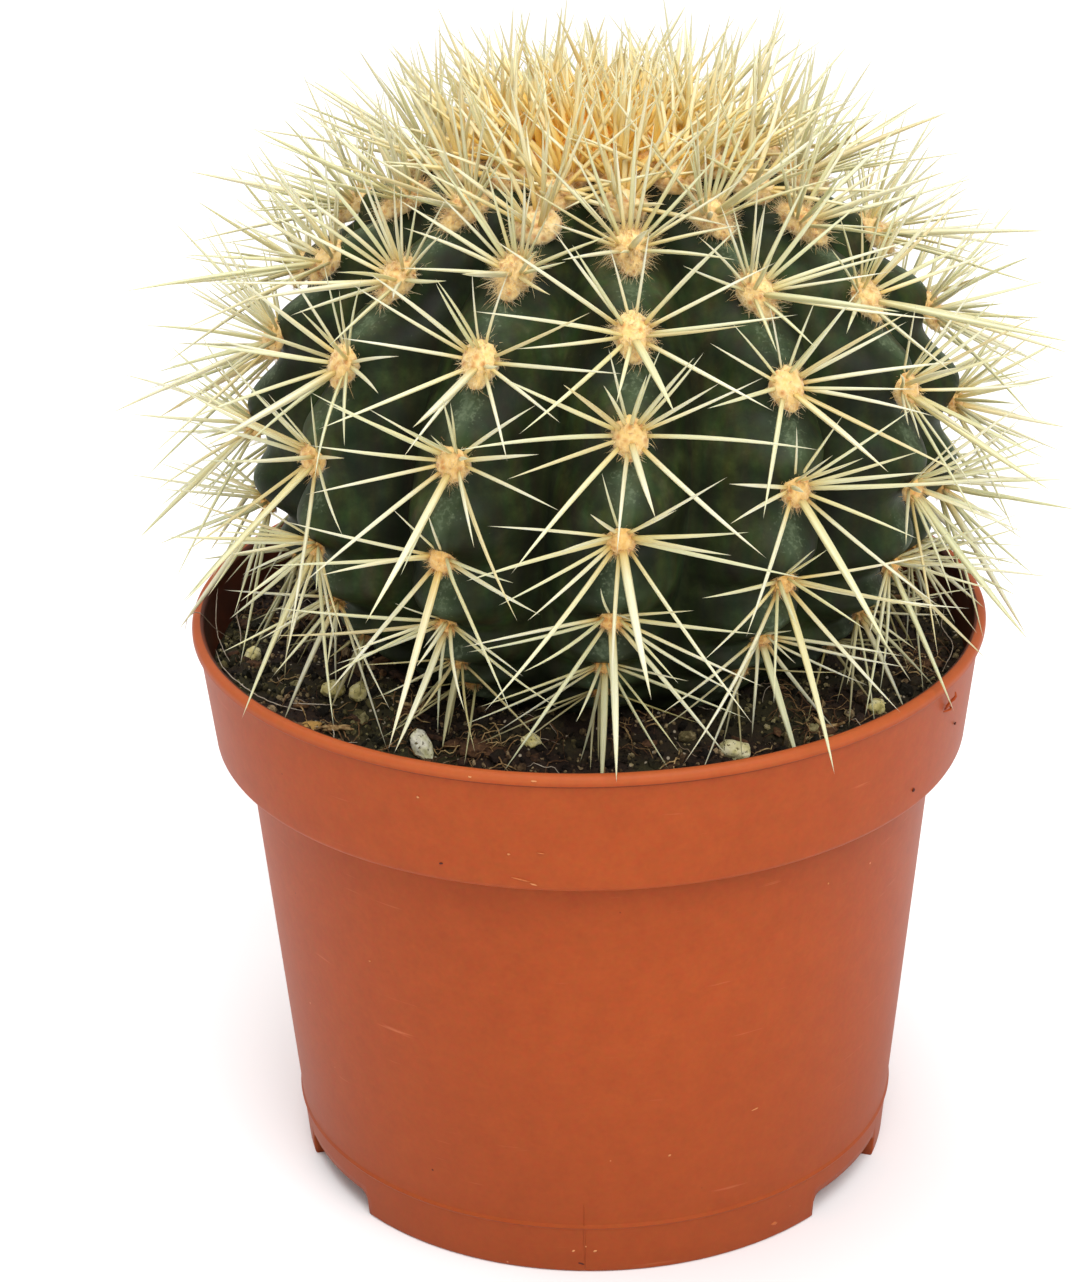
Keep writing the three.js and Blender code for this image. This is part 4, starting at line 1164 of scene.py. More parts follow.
def add_hair(net, root, direction, length, bend, thickness, **values):
    """A short tapering hair with three sides."""
    shares = HAIR_SHARES
    path = root + np.outer(shares * length, direction) + np.outer(shares ** 2 * length, bend)
    across = unit(np.cross(direction, bend + (0.1, 0.23, 0.31)))
    outer = np.cross(across, direction)
    breadth = thickness * (1 - 0.7 * shares)
    rows = (path[:, None] + across * (HAIR_SECTION[:, 0] * breadth[:, None])[..., None]
            + outer * (HAIR_SECTION[:, 1] * breadth[:, None])[..., None])
    tip = root + (direction + bend) * length
    faces = blade_faces(len(HAIR_SHARES), len(HAIR_SECTION))
    net.add(np.concatenate([rows.reshape(-1, 3), tip[None]]), faces, **values)


def add_pad(net, seat, width, height, thickness, **values):
    """A lumpy dome, sunk into the skin at its edge."""
    points = []
    for ring in range(PAD_RINGS):
        polar = math.pi / 2 * (1.15 - ring / (PAD_RINGS - 1) * 1.1)
        for side in range(PAD_SIDES):
            turn = 2 * math.pi * side / PAD_SIDES
            offset = Vector((math.sin(turn) * math.sin(polar), math.cos(turn) * math.sin(polar),
                             math.cos(polar)))
            lump = 1 + PAD_LUMPINESS * noise.noise(offset * 2.3 + Vector(seat["place"]))
            points.append(seat["place"] + seat["sideways"] * offset.x * width * lump
                          + seat["up_rib"] * offset.y * height * lump
                          + seat["normal"] * (offset.z * thickness * lump))
    faces = [tuple(reversed(face)) for face in grid_faces(PAD_RINGS, PAD_SIDES)]
    faces.append(tuple(range((PAD_RINGS - 1) * PAD_SIDES, PAD_RINGS * PAD_SIDES)))
    faces.append(tuple(reversed(range(PAD_SIDES))))
    net.add(points, faces, **values)


def add_wool(net, seat, width, height, thickness, hairs, length, random, age):
    """Hairs all over a dome, which stand off it and lean every way."""
    axes = np.array([seat["sideways"], seat["up_rib"], seat["normal"]])
    for _ in range(hairs):
        turn = random.uniform(0, 2 * math.pi)
        polar = math.acos(random.uniform(-0.1, 1))
        offset = np.array([math.sin(turn) * math.sin(polar), math.cos(turn) * math.sin(polar),
                           math.cos(polar)])
        root = seat["place"] + (offset * (width, height, thickness) * 0.9) @ axes
        direction = unit(offset @ axes + 0.8 * random.normal(size=3))
        bend = -0.2 * UP + 0.5 * random.normal(size=3)
        add_hair(net, root, direction, length * random.uniform(0.6, 1.25), bend, HAIR_THICKNESS,
                 tone=random.uniform(0.35, 1), age=age)


random = np.random.default_rng(5)
pad_net, wool_net = Net(*WOOL_VALUES), Net(*WOOL_VALUES)
for seat in grown_seats:
    latitude = seat["latitude"]
    soil_share = float(smoothstep(-latitude, -45, 35))
    width = np.interp(latitude, *PAD_WIDTHS)
    height = width * (1.1 + 0.15 * (1 - soil_share))
    thickness = PAD_THICKNESS * width
    shag = float(smoothstep(latitude, 25, 55))
    tail_drop = np.interp(latitude, *TAIL_DROPS) * height
    tail = dict(seat, place=seat["place"] - seat["up_rib"] * tail_drop)
    tail_size = 0.3 + 0.3 * float(smoothstep(latitude, 0, 25))
    cushions = ((seat, 1, int(330 + 470 * shag)), (tail, tail_size, int(70 + 130 * shag)))
    for part, size, hairs in cushions:
        wide, high, thick = width * size, height * size, thickness * size
        add_pad(pad_net, part, wide * UNDER_WOOL, high * UNDER_WOOL, thick, tone=0.45, age=soil_share)
        add_wool(wool_net, part, wide * WOOL_ROOTS, high * WOOL_ROOTS, thick, hairs,
                 0.32 * width + 0.45 * shag, random, soil_share)
print("points in the pads and in their wool:", pad_net.count, wool_net.count)

# %% [markdown]
# ### Areole felt
#
# Fresh felt is cream to pale gold, and turns ochre with age. It is a mass of fine matte hairs, so it
# has no highlight of its own: nearly full roughness and a little sheen, as on velvet.

# %% Felt material
FELT_TUFT = 0.7 * MM
FELT_DOT = 1.25 * MM

areole_felt, tree, tone, age = new_material("areole_wool_felt", *WOOL_VALUES)
place = add_node(tree, "TexCoord").outputs["Object"]
tufts = add_node(tree, "TexNoise", {"Vector": place, "Scale": 1 / FELT_TUFT, "Detail": 3})
mixed_tone = add_node(tree, "Math", {0: tone, 1: tufts}, operation="MULTIPLY")
fresh = add_node(tree, "ValToRGB", {"Fac": mixed_tone}, stops=[
    (0, linear("cf9d48")), (0.2, linear("ecca84")), (0.5, linear("fbe9bd"))])
old = add_node(tree, "ValToRGB", {"Fac": mixed_tone}, stops=[
    (0, linear("b87c30")), (0.2, linear("dca64e")), (0.5, linear("f5d596"))])
felt = add_node(tree, "Mix", {FACTOR: age, COLOUR_A: fresh, COLOUR_B: old}, data_type="RGBA")
# The growing point, whose age is set to 2, has golden-orange wool.
orange = add_node(tree, "ValToRGB", {"Fac": mixed_tone}, stops=[
    (0, linear("e2881a")), (0.2, linear("f2aa34")), (0.5, linear("fbd26a"))])
in_centre = add_node(tree, "MapRange", {"Value": age, "From Min": 1, "From Max": 2})
crowned = add_node(tree, "Mix", {FACTOR: in_centre, COLOUR_A: felt,
                                 COLOUR_B: orange}, data_type="RGBA")
# Small rusty dots show where spines and old hairs come through.
dots = add_node(tree, "TexVoronoi", {"Vector": place, "Scale": 1 / FELT_DOT})
near = add_node(tree, "MapRange", {"Value": dots, "From Min": 0.45, "From Max": 0.1, "To Max": 0.7})
dotted = add_node(tree, "Mix", {FACTOR: near, COLOUR_A: crowned,
                                COLOUR_B: linear("bd6f28")}, data_type="RGBA")
relief = add_node(tree, "Bump", {"Height": tufts, "Strength": 0.6, "Distance": 0.3 * MM})
shader = add_node(tree, "BsdfPrincipled", {
    "Base Color": dotted, "Roughness": 0.95, "Sheen Weight": 0.3,
    "Sheen Roughness": 0.5, "Normal": relief})
add_node(tree, "OutputMaterial", {"Surface": shader})

add_piece("areole_pads", pad_net, areole_felt)
add_piece("areole_wool", wool_net, areole_felt)

# %% [markdown]
# ## The crown
#
# The growing point keeps making new areoles. These stand shoulder to shoulder in golden-orange wool,
# and their spines are already long, still golden, and stand up in a dense brush that leans outwards,
# because each areole tips over as it is carried away from the middle.
#
# The crown uses the same rules as the rest of the stem, with its own star of spines.

# %% Young spines and crown wool
YOUNG_STAR_COUNT = 13
CENTRE_SPINE = 14.5  # length in the middle of the crown
EDGE_SPINE = 19.5
YOUNG_CLEARANCE = 0.3  # the brush is too dense for more
YOUNG_RINGS = 7
YOUNG_PAD_WIDTHS = (3.4, 2.1)  # half widths at the edge and in the middle of the crown
YOUNG_PAD_THICKNESS = 2.1
YOUNG_HAIRS = (380, 1.5)  # how many, and their length
BED_RADIUS = 12  # the wool that fills the growing point
BED_HEIGHT = 4
BED_SINK = 0.8
BED_HAIRS = (2200, 2.6)

random = np.random.default_rng(9)
crown_net = Net(*SPINE_VALUES)
crown_wool_net = Net(*WOOL_VALUES)
edge_width, centre_width = YOUNG_PAD_WIDTHS
young_count = 0
for i, seat in enumerate(young_seats):
    number = len(grown_seats) + i
    centre_share = float(smoothstep(seat["latitude"], 62, 86))
    for spine in range(YOUNG_STAR_COUNT):
        angle = 360 * spine / YOUNG_STAR_COUNT + random.uniform(-14, 14)
        lift = random.uniform(16, 80)
        length = EDGE_SPINE + (CENTRE_SPINE - EDGE_SPINE) * centre_share
        root = on_seat(seat, angle, SPINE_ROOT_RADIUS, 0.4)
        young_count += place_spine(
            crown_net, seat, number, root, angle, lift, length * random.uniform(0.75, 1.12),
            random.uniform(0.33, 0.47), random, tones=0.7, clear=YOUNG_CLEARANCE,
            steepest=min(STEEPEST, lift + 14), rings=YOUNG_RINGS, age=-0.2 - 0.9 * centre_share)
    width = edge_width + (centre_width - edge_width) * centre_share
    size = (width, width, YOUNG_PAD_THICKNESS)
    add_pad(crown_wool_net, seat, *size, tone=0.6, age=1.8 * centre_share)
    add_wool(crown_wool_net, seat, *size, *YOUNG_HAIRS, random, 1.8 * centre_share)
print("young spines:", young_count)

bed = {"place": np.array([STEM_X, 0, stem_height(90) - CROWN_DIP - BED_SINK]), "normal": UP,
       "sideways": np.array([1.0, 0, 0]), "up_rib": np.array([0, 1.0, 0])}
size = (BED_RADIUS, BED_RADIUS, BED_HEIGHT)
add_pad(crown_wool_net, bed, *size, tone=0.5, age=2)
add_wool(crown_wool_net, bed, *size, *BED_HAIRS, random, 2)

crown_spines = add_piece("crown_spines", crown_net, horny_spine)
crown_wool = add_piece("crown_wool", crown_wool_net, areole_felt)
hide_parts("crown_tuft")
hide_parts("crown_tuft")

# %% [markdown]
# ## The soil
#
# The plant stands in a peat mix, about eight millimetres below the rim. Peat dries into crumbs, so
# its surface is rough at every scale. A displaced surface gives the big lumps, and a few thousand
# loose crumbs lie on it, because only separate lumps cast the small dark shadows that soil has.
#
# The soil's body goes down to the floor of the pot and has a hollow for the stem's foot, so it is
# whole from below too, where the drain holes show it.

# %% Soil body
SOIL_COLUMNS = 360
SOIL_ROWS = 46
SOIL_INNER = 30.7
STEM_HOLLOW = ((7.3, 62), (8.4, 70), (11.4, 74.7), (15.4, 76.4), (20.4, 78.7), (26, 81.7))
SOIL_GAP = 0.3
SOIL_SIDE_Z = (78, 38)  # heights of two rows down the soil's side, in the collar and in the body
SOIL_LUMPS = ((7.5, 1.1), (2.8, 0.9), (1.2, 0.6), (0.6, 0.3))  # size and height


def soil_wall_radius(z):
    """Radius of the soil against the inside of the pot's collar."""
    share = (z - COLLAR_FOOT_Z - 1.8) / (POT_HEIGHT - LIP_HEIGHT - COLLAR_FOOT_Z - 1.8)
    return COLLAR_FOOT_RADIUS + (COLLAR_TOP_RADIUS - COLLAR_FOOT_RADIUS) * share - WALL - SOIL_GAP


def soil_height(x, y):
    """Height of the soil with its lumps."""
    from_pot = math.hypot(x, y)
    lumps = sum(height * noise.noise(Vector((x / size, y / size, size)))
                for size, height in SOIL_LUMPS)
    calm = 0.35 + 0.65 * float(smoothstep(-from_pot, -57.5, -53))
    return float(soil_top(from_pot)) + lumps * calm - 0.2


soil_rows = [level_ring(radius, z, SOIL_COLUMNS, STEM_X) for radius, z in STEM_HOLLOW]
wall_top = soil_wall_radius(SOIL_WALL_Z)
for i in range(SOIL_ROWS):
    share = i / (SOIL_ROWS - 1)
    radius = SOIL_INNER + (wall_top - SOIL_INNER) * share
    row = level_ring(radius, 0, SOIL_COLUMNS, STEM_X * (1 - share))
    row[:, 2] = [soil_height(x, y) for x, y, _ in row]
    soil_rows.append(row)
in_collar, in_body = SOIL_SIDE_Z
soil_foot = FLOOR_TOP_Z + SOIL_GAP
soil_rows += [level_ring(radius, z, SOIL_COLUMNS) for radius, z in (
    (soil_wall_radius(in_collar), in_collar),
    (COLLAR_FOOT_RADIUS - WALL - SOIL_GAP, COLLAR_FOOT_Z + 2.1),
    (BODY_TOP_RADIUS - WALL - SOIL_GAP, COLLAR_FOOT_Z + 0.9),
    (body_radius(in_body) - WALL - SOIL_GAP, in_body),
    (body_radius(FLOOR_TOP_Z) - WALL - SOIL_GAP, soil_foot),
    (20, soil_foot))]
middles = [(STEM_X, 0, STEM_HOLLOW[0][1]), (0, 0, soil_foot)]
soil_net = Net("tone")
soil_net.add(np.concatenate([*soil_rows, middles]), closed_faces(len(soil_rows), SOIL_COLUMNS),
             tone=0.35)
print("points in the soil's net:", soil_net.count)

# %% [markdown]
# A crumb is a ball of even triangles, stretched and dented at random. Large crumbs have more
# triangles than small ones, because nobody sees the corners of a half-millimetre grain.

# %% Soil crumbs
CRUMBS = ((420, 0.9, 2), (4200, 0.42, 1), (6000, 0.23, 1))  # how many, radius, divisions
SOIL_REACH = 57  # no open soil lies further from the pot's axis
CRUMB_LIFT = 0.25  # how far a crumb's middle stands over the soil, as a share of its radius


def ball_net(divisions):
    """Points and triangles of a unit ball made of even triangles."""
    ball = bmesh.new()
    bmesh.ops.create_icosphere(ball, subdivisions=divisions, radius=1)
    points = np.array([vertex.co for vertex in ball.verts])
    faces = [tuple(vertex.index for vertex in face.verts) for face in ball.faces]
    ball.free()
    return points, faces


def random_turn(random):
    """A random rotation, as three axes."""
    first = unit(random.normal(size=3))
    second = unit(np.cross(first, random.normal(size=3)))
    return np.array([first, second, np.cross(first, second)])


def on_open_soil(x, y, margin):
    """True between the stem and the wall, at least a margin away from both."""
    return (math.hypot(x, y) < wall_top - margin
            and math.hypot(x - STEM_X, y) > SOIL_INNER + margin)


def soil_spot(random, margin):
    """A random place on the open soil."""
    while True:
        x, y = random.uniform(-SOIL_REACH, SOIL_REACH, 2)
        if on_open_soil(x, y, margin):
            return x, y


random = np.random.default_rng(21)
crumb_net = Net("tone")
for count, size, divisions in CRUMBS:
    ball, ball_faces = ball_net(divisions)
    for _ in range(count):
        radius = size * random.uniform(0.5, 1.35)
        x, y = soil_spot(random, radius)
        dents = 1 + 0.22 * random.uniform(-1, 1, (len(ball), 1))
        crumb = (ball * dents * random.uniform(0.55, 1.15, 3)) @ random_turn(random)
        crumb_net.add(crumb * radius + (x, y, soil_height(x, y) + CRUMB_LIFT * radius), ball_faces,
                      tone=random.uniform(0, 1) ** 1.5)
print("crumbs:", sum(count for count, _, _ in CRUMBS))

# %% [markdown]
# ### Moist peat
#
# Peat is nearly black where it is damp and dark brown where it has dried. The surface has no gloss
# apart from a few damp glints. Pale specks are lime and sand, and an olive film of algae grows in
# patches where the soil has stayed wet.

# %% Soil material
PEAT_GRAIN = 0.8 * MM
SAND_SPACING = 1.1 * MM
ALGAE_PATCH = 11 * MM

moist_peat, tree, tone = new_material("moist_peat_with_algae", "tone")
place = add_node(tree, "TexCoord").outputs["Object"]
grain = add_node(tree, "TexNoise", {"Vector": place, "Scale": 1 / PEAT_GRAIN, "Detail": 6,
                                    "Roughness": 0.7})
mixed_tone = add_node(tree, "Math", {0: tone, 1: grain}, operation="MULTIPLY")
brown = add_node(tree, "ValToRGB", {"Fac": mixed_tone}, stops=[
    (0.07, linear("150d07")), (0.2, linear("30221a")), (0.35, linear("5a442d")),
    (0.52, linear("ab926e"))])
patch = add_node(tree, "TexNoise", {"Vector": place, "Scale": 1 / ALGAE_PATCH, "Detail": 4})
film = add_node(tree, "MapRange", {"Value": patch, "From Min": 0.44,
                                   "From Max": 0.62, "To Max": 0.7})
olive = add_node(tree, "ValToRGB", {"Fac": mixed_tone}, stops=[
    (0.07, linear("1f1f10")), (0.2, linear("3e3c22")), (0.35, linear("6f6c42")),
    (0.52, linear("a8a270"))])
green_soil = add_node(tree, "Mix", {FACTOR: film, COLOUR_A: brown,
                                    COLOUR_B: olive}, data_type="RGBA")
cells = add_node(tree, "TexVoronoi", {"Vector": place, "Scale": 1 / SAND_SPACING})
kind = add_node(tree, "SeparateColor", {"Color": cells.outputs["Color"]})
is_sand = add_node(tree, "Math", {0: kind.outputs["Red"], 1: 0.84}, operation="GREATER_THAN")
near = add_node(tree, "MapRange", {"Value": cells, "From Min": 0.26, "From Max": 0.16})
sand = add_node(tree, "Math", {0: near, 1: is_sand}, operation="MULTIPLY")
sanded = add_node(tree, "Mix", {FACTOR: sand, COLOUR_A: green_soil,
                                COLOUR_B: linear("b9ab93")}, data_type="RGBA")
damp = add_node(tree, "MapRange", {"Value": grain, "From Min": 0.3,
                                   "From Max": 0.6, "To Min": 0.55, "To Max": 0.95})
relief = add_node(tree, "Bump", {"Height": grain, "Strength": 0.8, "Distance": 0.5 * MM})
shader = add_node(tree, "BsdfPrincipled", {
    "Base Color": sanded, "Roughness": damp, "IOR": 1.45,
    "Specular IOR Level": 0.3, "Normal": relief})
add_node(tree, "OutputMaterial", {"Surface": shader})

soil_bed = add_piece("soil_bed", soil_net, moist_peat)
crumbs = add_piece("soil_crumbs", crumb_net, moist_peat, smooth=False)
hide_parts("soil")
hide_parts("soil")

# %% [markdown]
# ## Bark, fibres and roots
#
# The mix holds shreds of bark and coir fibre, in loose tangles, and fine white roots that have found
# their way along the wall of the pot. A path of points with a thin tube round it makes each of them.
# The path wanders by a seeded random walk and stays on the soil's own height.

# %% Fibres
FIBRE_TANGLES = (  # x, y, radius and how many fibres
    (-25.5, -28, 6, 46), (-17, -39, 6, 52), (34, -30, 7, 56), (-39, -30, 4.5, 26), (30, -24, 4, 22),
    (50, -9, 5, 26), (7, -36, 5, 24), (-48, 12, 6, 26), (10, 44, 8, 30), (40, 22, 7, 26))
LOOSE_FIBRES = 150
FIBRE_RADIUS = 0.075
FIBRE_STEP = 0.6
FEWEST_POINTS = 5  # a shorter path is left out


def add_tube(net, path, radius, sides=5, **values):
    """A round thread along a path, drawn to a point at both ends."""
    path = np.asarray(path, float)
    tangents = unit(np.gradient(path, axis=0))
    across = unit(np.cross(tangents, (0.31, 0.27, 0.91)))
    outer = np.cross(across, tangents)
    thickness = radius * np.sqrt(np.sin(np.linspace(0.12, math.pi - 0.12, len(path))))
    turns = np.arange(sides) * 2 * math.pi / sides
    rows = (path[:, None] + across[:, None] * (np.cos(turns) * thickness[:, None])[..., None]
            + outer[:, None] * (np.sin(turns) * thickness[:, None])[..., None])
    points = np.concatenate([rows.reshape(-1, 3), path[:1], path[-1:]])
    net.add(points, closed_faces(len(path), sides, flip=True), **values)


def wandering_path(x, y, length, step, random):
    """A path over the soil that keeps turning a little, and ends early where the soil ends."""
    heading = random.uniform(0, 2 * math.pi)
    bending = random.normal() * 0.12
    lift = random.uniform(0.2, 1.1)
    path = []
    count = max(FEWEST_POINTS, int(length / step))
    for i in range(count):
        arch = lift * math.sin(math.pi * i / (count - 1)) + 0.15
        path.append((x, y, soil_height(x, y) + arch))
        heading += bending + 0.15 * random.normal()
        next_x, next_y = x + step * math.cos(heading), y + step * math.sin(heading)
        if not on_open_soil(next_x, next_y, 0.4):
            break
        x, y = next_x, next_y
    return path


random = np.random.default_rng(33)
fibre_net = Net("tone")
fibres = [(*soil_spot(random, 1), random.uniform(4, 11)) for _ in range(LOOSE_FIBRES)]
for middle_x, middle_y, spread, count in FIBRE_TANGLES:
    for _ in range(count):
        x, y = np.array([middle_x, middle_y]) + random.normal(size=2) * spread / 2
        fibres.append((x, y, random.uniform(2.5, 7)))
for x, y, length in fibres:
    path = wandering_path(x, y, length, FIBRE_STEP, random)
    if on_open_soil(x, y, 0.5) and len(path) >= FEWEST_POINTS:
        add_tube(fibre_net, path, FIBRE_RADIUS * random.uniform(0.5, 1.6),
                 tone=random.uniform(0, 1))
print("fibres:", len(fibres))

# %% [markdown]
# The larger bits of bark are placed one by one, where they catch the eye. A shred is a thick thread
# along a smooth curve, and a lump is a dented ball that is pressed flat on the soil.

# %% Shreds and lumps of bark
SHREDS = (  # each is a list of places on the soil
    ((-39.4, -29.7), (-38, -30.7), (-36.8, -30.2), (-35.4, -31.3), (-34, -31.2)),
    ((-38.6, -30.6), (-37, -31), (-35.8, -30.4), (-34.6, -30.6)),
    ((-28.2, -25.6), (-26.8, -27), (-25.4, -26.6), (-24.2, -28)),
    ((32, -28.6), (33.6, -30), (35.4, -29.6), (36.6, -31)))
SHRED_RADIUS = 0.34
SHRED_HEIGHTS = (0.75, 1.1)  # its points lie this high over the soil by turns
BARK_LUMPS = (  # x, y and radius
    (-16.4, -38.6, 2.9), (-13.6, -39.8, 2.1), (-25.6, -26.6, 2.6), (-19.2, -36.4, 1.7),
    (33.6, -30.2, 2.4), (-50.8, -5.4, 1.8), (51.2, -8.6, 1.9), (8.4, -37.4, 1.5),
    (-23.3, -38.9, 0.9))


def smooth_path(points, steps):
    """A curve through all the points (Catmull-Rom)."""
    points = np.asarray(points, float)
    ends = np.concatenate([[2 * points[0] - points[1]], points, [2 * points[-1] - points[-2]]])
    path = []
    for before, start, end, after in zip(ends, ends[1:], ends[2:], ends[3:]):
        for t in np.arange(steps) / steps:
            path.append(0.5 * (2 * start + (end - before) * t
                               + (2 * before - 5 * start + 4 * end - after) * t ** 2
                               + (3 * start - before - 3 * end + after) * t ** 3))
    path.append(points[-1])
    return np.array(path)


for shred in SHREDS:
    points = [(x, y, soil_height(x, y) + SHRED_HEIGHTS[i % 2]) for i, (x, y) in enumerate(shred)]
    add_tube(fibre_net, smooth_path(points, 6), SHRED_RADIUS, sides=7, tone=0.8)
ball, ball_faces = ball_net(3)
for x, y, radius in BARK_LUMPS:
    lump = np.array([point * (0.85 + 0.5 * noise.noise(Vector(point) * 2.5 + Vector((x, y, 0)))
                              + 0.25 * noise.noise(Vector(point) * 8 + Vector((x, y, 0))))
                     for point in ball])
    fibre_net.add(lump * (radius, radius * 0.75, radius * 0.4) + (x, y, soil_height(x, y) + 0.1),
                  ball_faces, tone=0.3)
print("shreds and lumps:", len(SHREDS), len(BARK_LUMPS))

# %% [markdown]
# Small chips lie anywhere on the open soil. Each is a plate of uneven outline with thin edges, tilted
# at random. A scattered copy of one chip would be lighter, but here each one is another shape.

# %% Bark chips
BARK_CHIPS = 90
CHIP_SIDES = 7
CHIP_LIFT = 0.35  # of its middle over the soil

random = np.random.default_rng(37)
sides = CHIP_SIDES
for _ in range(BARK_CHIPS):
    x, y = soil_spot(random, 2)
    turns = np.arange(sides) * 2 * math.pi / sides
    outline = np.stack([np.cos(turns) * random.uniform(0.9, 2.3), np.sin(turns)
                        * random.uniform(0.4, 1), np.zeros(sides)], axis=1)
    outline *= random.uniform(0.7, 1.2, (sides, 1))
    tilt = (Matrix.Rotation(random.uniform(0, 6.28), 3, "Z")
            @ Matrix.Rotation(random.normal() * 0.35, 3, "X"))
    thickness = random.uniform(0.15, 0.35)
    layers = [outline * 0.85 + UP * thickness, outline, outline * 0.85 - UP * thickness]
    chip = np.concatenate([*layers, [UP * thickness * 1.2, -UP * thickness * 1.2]])
    chip = chip @ np.array(tilt).T
    fibre_net.add(chip + (x, y, soil_height(x, y) + CHIP_LIFT), closed_faces(3, sides),
                  tone=random.uniform(0, 0.6))
print("points in bark and coir:", fibre_net.count)

# %% [markdown]
# ### Bark and coir
#
# Bark and coir are plant fibre: dry, matte, brown and uneven in colour. The paler ones have bleached
# in the light.

# %% Bark material
BARK_GRAIN = 0.6 * MM

coir, tree, tone = new_material("dry_bark_and_coir_fibre", "tone")
place = add_node(tree, "TexCoord").outputs["Object"]
grain = add_node(tree, "TexNoise", {"Vector": place, "Scale": 1 / BARK_GRAIN, "Detail": 4})
shade = add_node(tree, "Math", {0: grain, 1: -0.5}, operation="ADD")
shifted = add_node(tree, "Math", {0: tone, 1: shade}, operation="ADD")
brown = add_node(tree, "ValToRGB", {"Fac": shifted}, stops=[
    (0, linear("2e1c12")), (0.4, linear("5e4029")), (0.75, linear("8f6d45")),
    (1, linear("c6a874"))])
relief = add_node(tree, "Bump", {"Height": grain, "Strength": 0.6, "Distance": 0.2 * MM})
shader = add_node(tree, "BsdfPrincipled", {
    "Base Color": brown, "Roughness": 0.85, "IOR": 1.5,
    "Specular IOR Level": 0.3, "Normal": relief})
add_node(tree, "OutputMaterial", {"Surface": shader})

add_piece("bark_and_coir", fibre_net, coir)

# %% [markdown]
# The white roots show best at the left wall. One hangs down the inside of the wall, one curls over
# the rim, and the others run along the soil. Each is a smooth curve through a few points, given as
# azimuth, distance from the axis and height. Finer rootlets wander over the soil as the fibres do.

# %% Root hairs
ROOT_ROUTES = (
    ((-100, 58, 88.6), (-96, 57.4, 87.6), (-92, 56.8, 85), (-88, 55.6, 83.6), (-84, 54.5, 83.2)),
    ((-92, 54.8, 83.6), (-89, 56.6, 86.5), (-86, 58.6, 90.5), (-84, 60.2, 90.9), (-82.5, 60.9, 89.3)),
    ((-86, 56.6, 84.4), (-80, 55.5, 83.8), (-72, 53, 83.4), (-65, 51, 83.6), (-60, 48, 83.4)),
    ((-104, 56, 84.2), (-99, 55, 84.6), (-94, 53.5, 83.6), (-88, 53, 83.8)),
    ((-64, 49, 83.6), (-60, 46.5, 84.2), (-58, 43.5, 83.9)),
    ((-55, 50, 83.2), (-50, 48.5, 83.9), (-47, 50, 83.3), (-44, 48, 83.4)),
    ((150, 55.5, 83.6), (160, 54, 84), (170, 55.8, 84.6)),
    ((76, 54, 83.4), (84, 55, 84.2), (93, 54, 83.6), (99, 55.5, 84)),
)
ROOT_RADIUS = 0.08
ROOT_WOBBLE = 0.03
ROOTLETS = 60
ROOTLET_RADIUS = 0.7 * ROOT_RADIUS
ROOTLET_STEP = 0.5

random = np.random.default_rng(41)
root_net = Net("tone")
for route in ROOT_ROUTES:
    points = [outward(azimuth) * radius + UP * z for azimuth, radius, z in route]
    path = smooth_path(points, 8)
    path[1:-1] += ROOT_WOBBLE * random.normal(size=(len(path) - 2, 3))
    add_tube(root_net, path, ROOT_RADIUS, tone=random.uniform(0.5, 1))
for _ in range(ROOTLETS):
    x, y = soil_spot(random, 1)
    path = wandering_path(x, y, random.uniform(2, 6), ROOTLET_STEP, random)
    if len(path) >= FEWEST_POINTS:
        add_tube(root_net, path, ROOTLET_RADIUS, tone=random.uniform(0, 0.8))
print("points in the roots:", root_net.count)

# %% [markdown]
# ### Dry root
#
# A root that has dried in the air is a matte thread of cellulose, nearly white, with brown blotches
# where the soil has stained it.

# %% Root material
ROOT_BLOTCH = 2 * MM

fine_root, tree, tone = new_material("dry_white_root", "tone")
place = add_node(tree, "TexCoord").outputs["Object"]
blotch = add_node(tree, "TexNoise", {"Vector": place, "Scale": 1 / ROOT_BLOTCH, "Detail": 2})
mixed_tone = add_node(tree, "Math", {0: tone, 1: blotch}, operation="MULTIPLY")
pale = add_node(tree, "ValToRGB", {"Fac": mixed_tone}, stops=[
    (0, linear("8d7358")), (0.6, linear("d9ccb8"))])
shader = add_node(tree, "BsdfPrincipled", {"Base Color": pale, "Roughness": 0.7,
                                           "IOR": 1.45, "Specular IOR Level": 0.4})
add_node(tree, "OutputMaterial", {"Surface": shader})
add_piece("root_hairs", root_net, fine_root)

# %% [markdown]
# ## Pumice
#
# A few grains of pumice lie in the soil. Pumice is volcanic glass froth: light, rounded by rubbing,
# and full of pores. Damp and algae have stained most of these yellow-green, one is tan, and one is
# still white.
#
# First the stone: rough glass froth without any gloss. Its finest pores are broken bubbles of many
# sizes, so a noise is cut off at a low value, and what lies below that is painted dark, as the shade
# inside the pores.

# %% Pumice material
STAIN_PATCH = 1.4 * MM
PORE_SIZE = 0.5 * MM

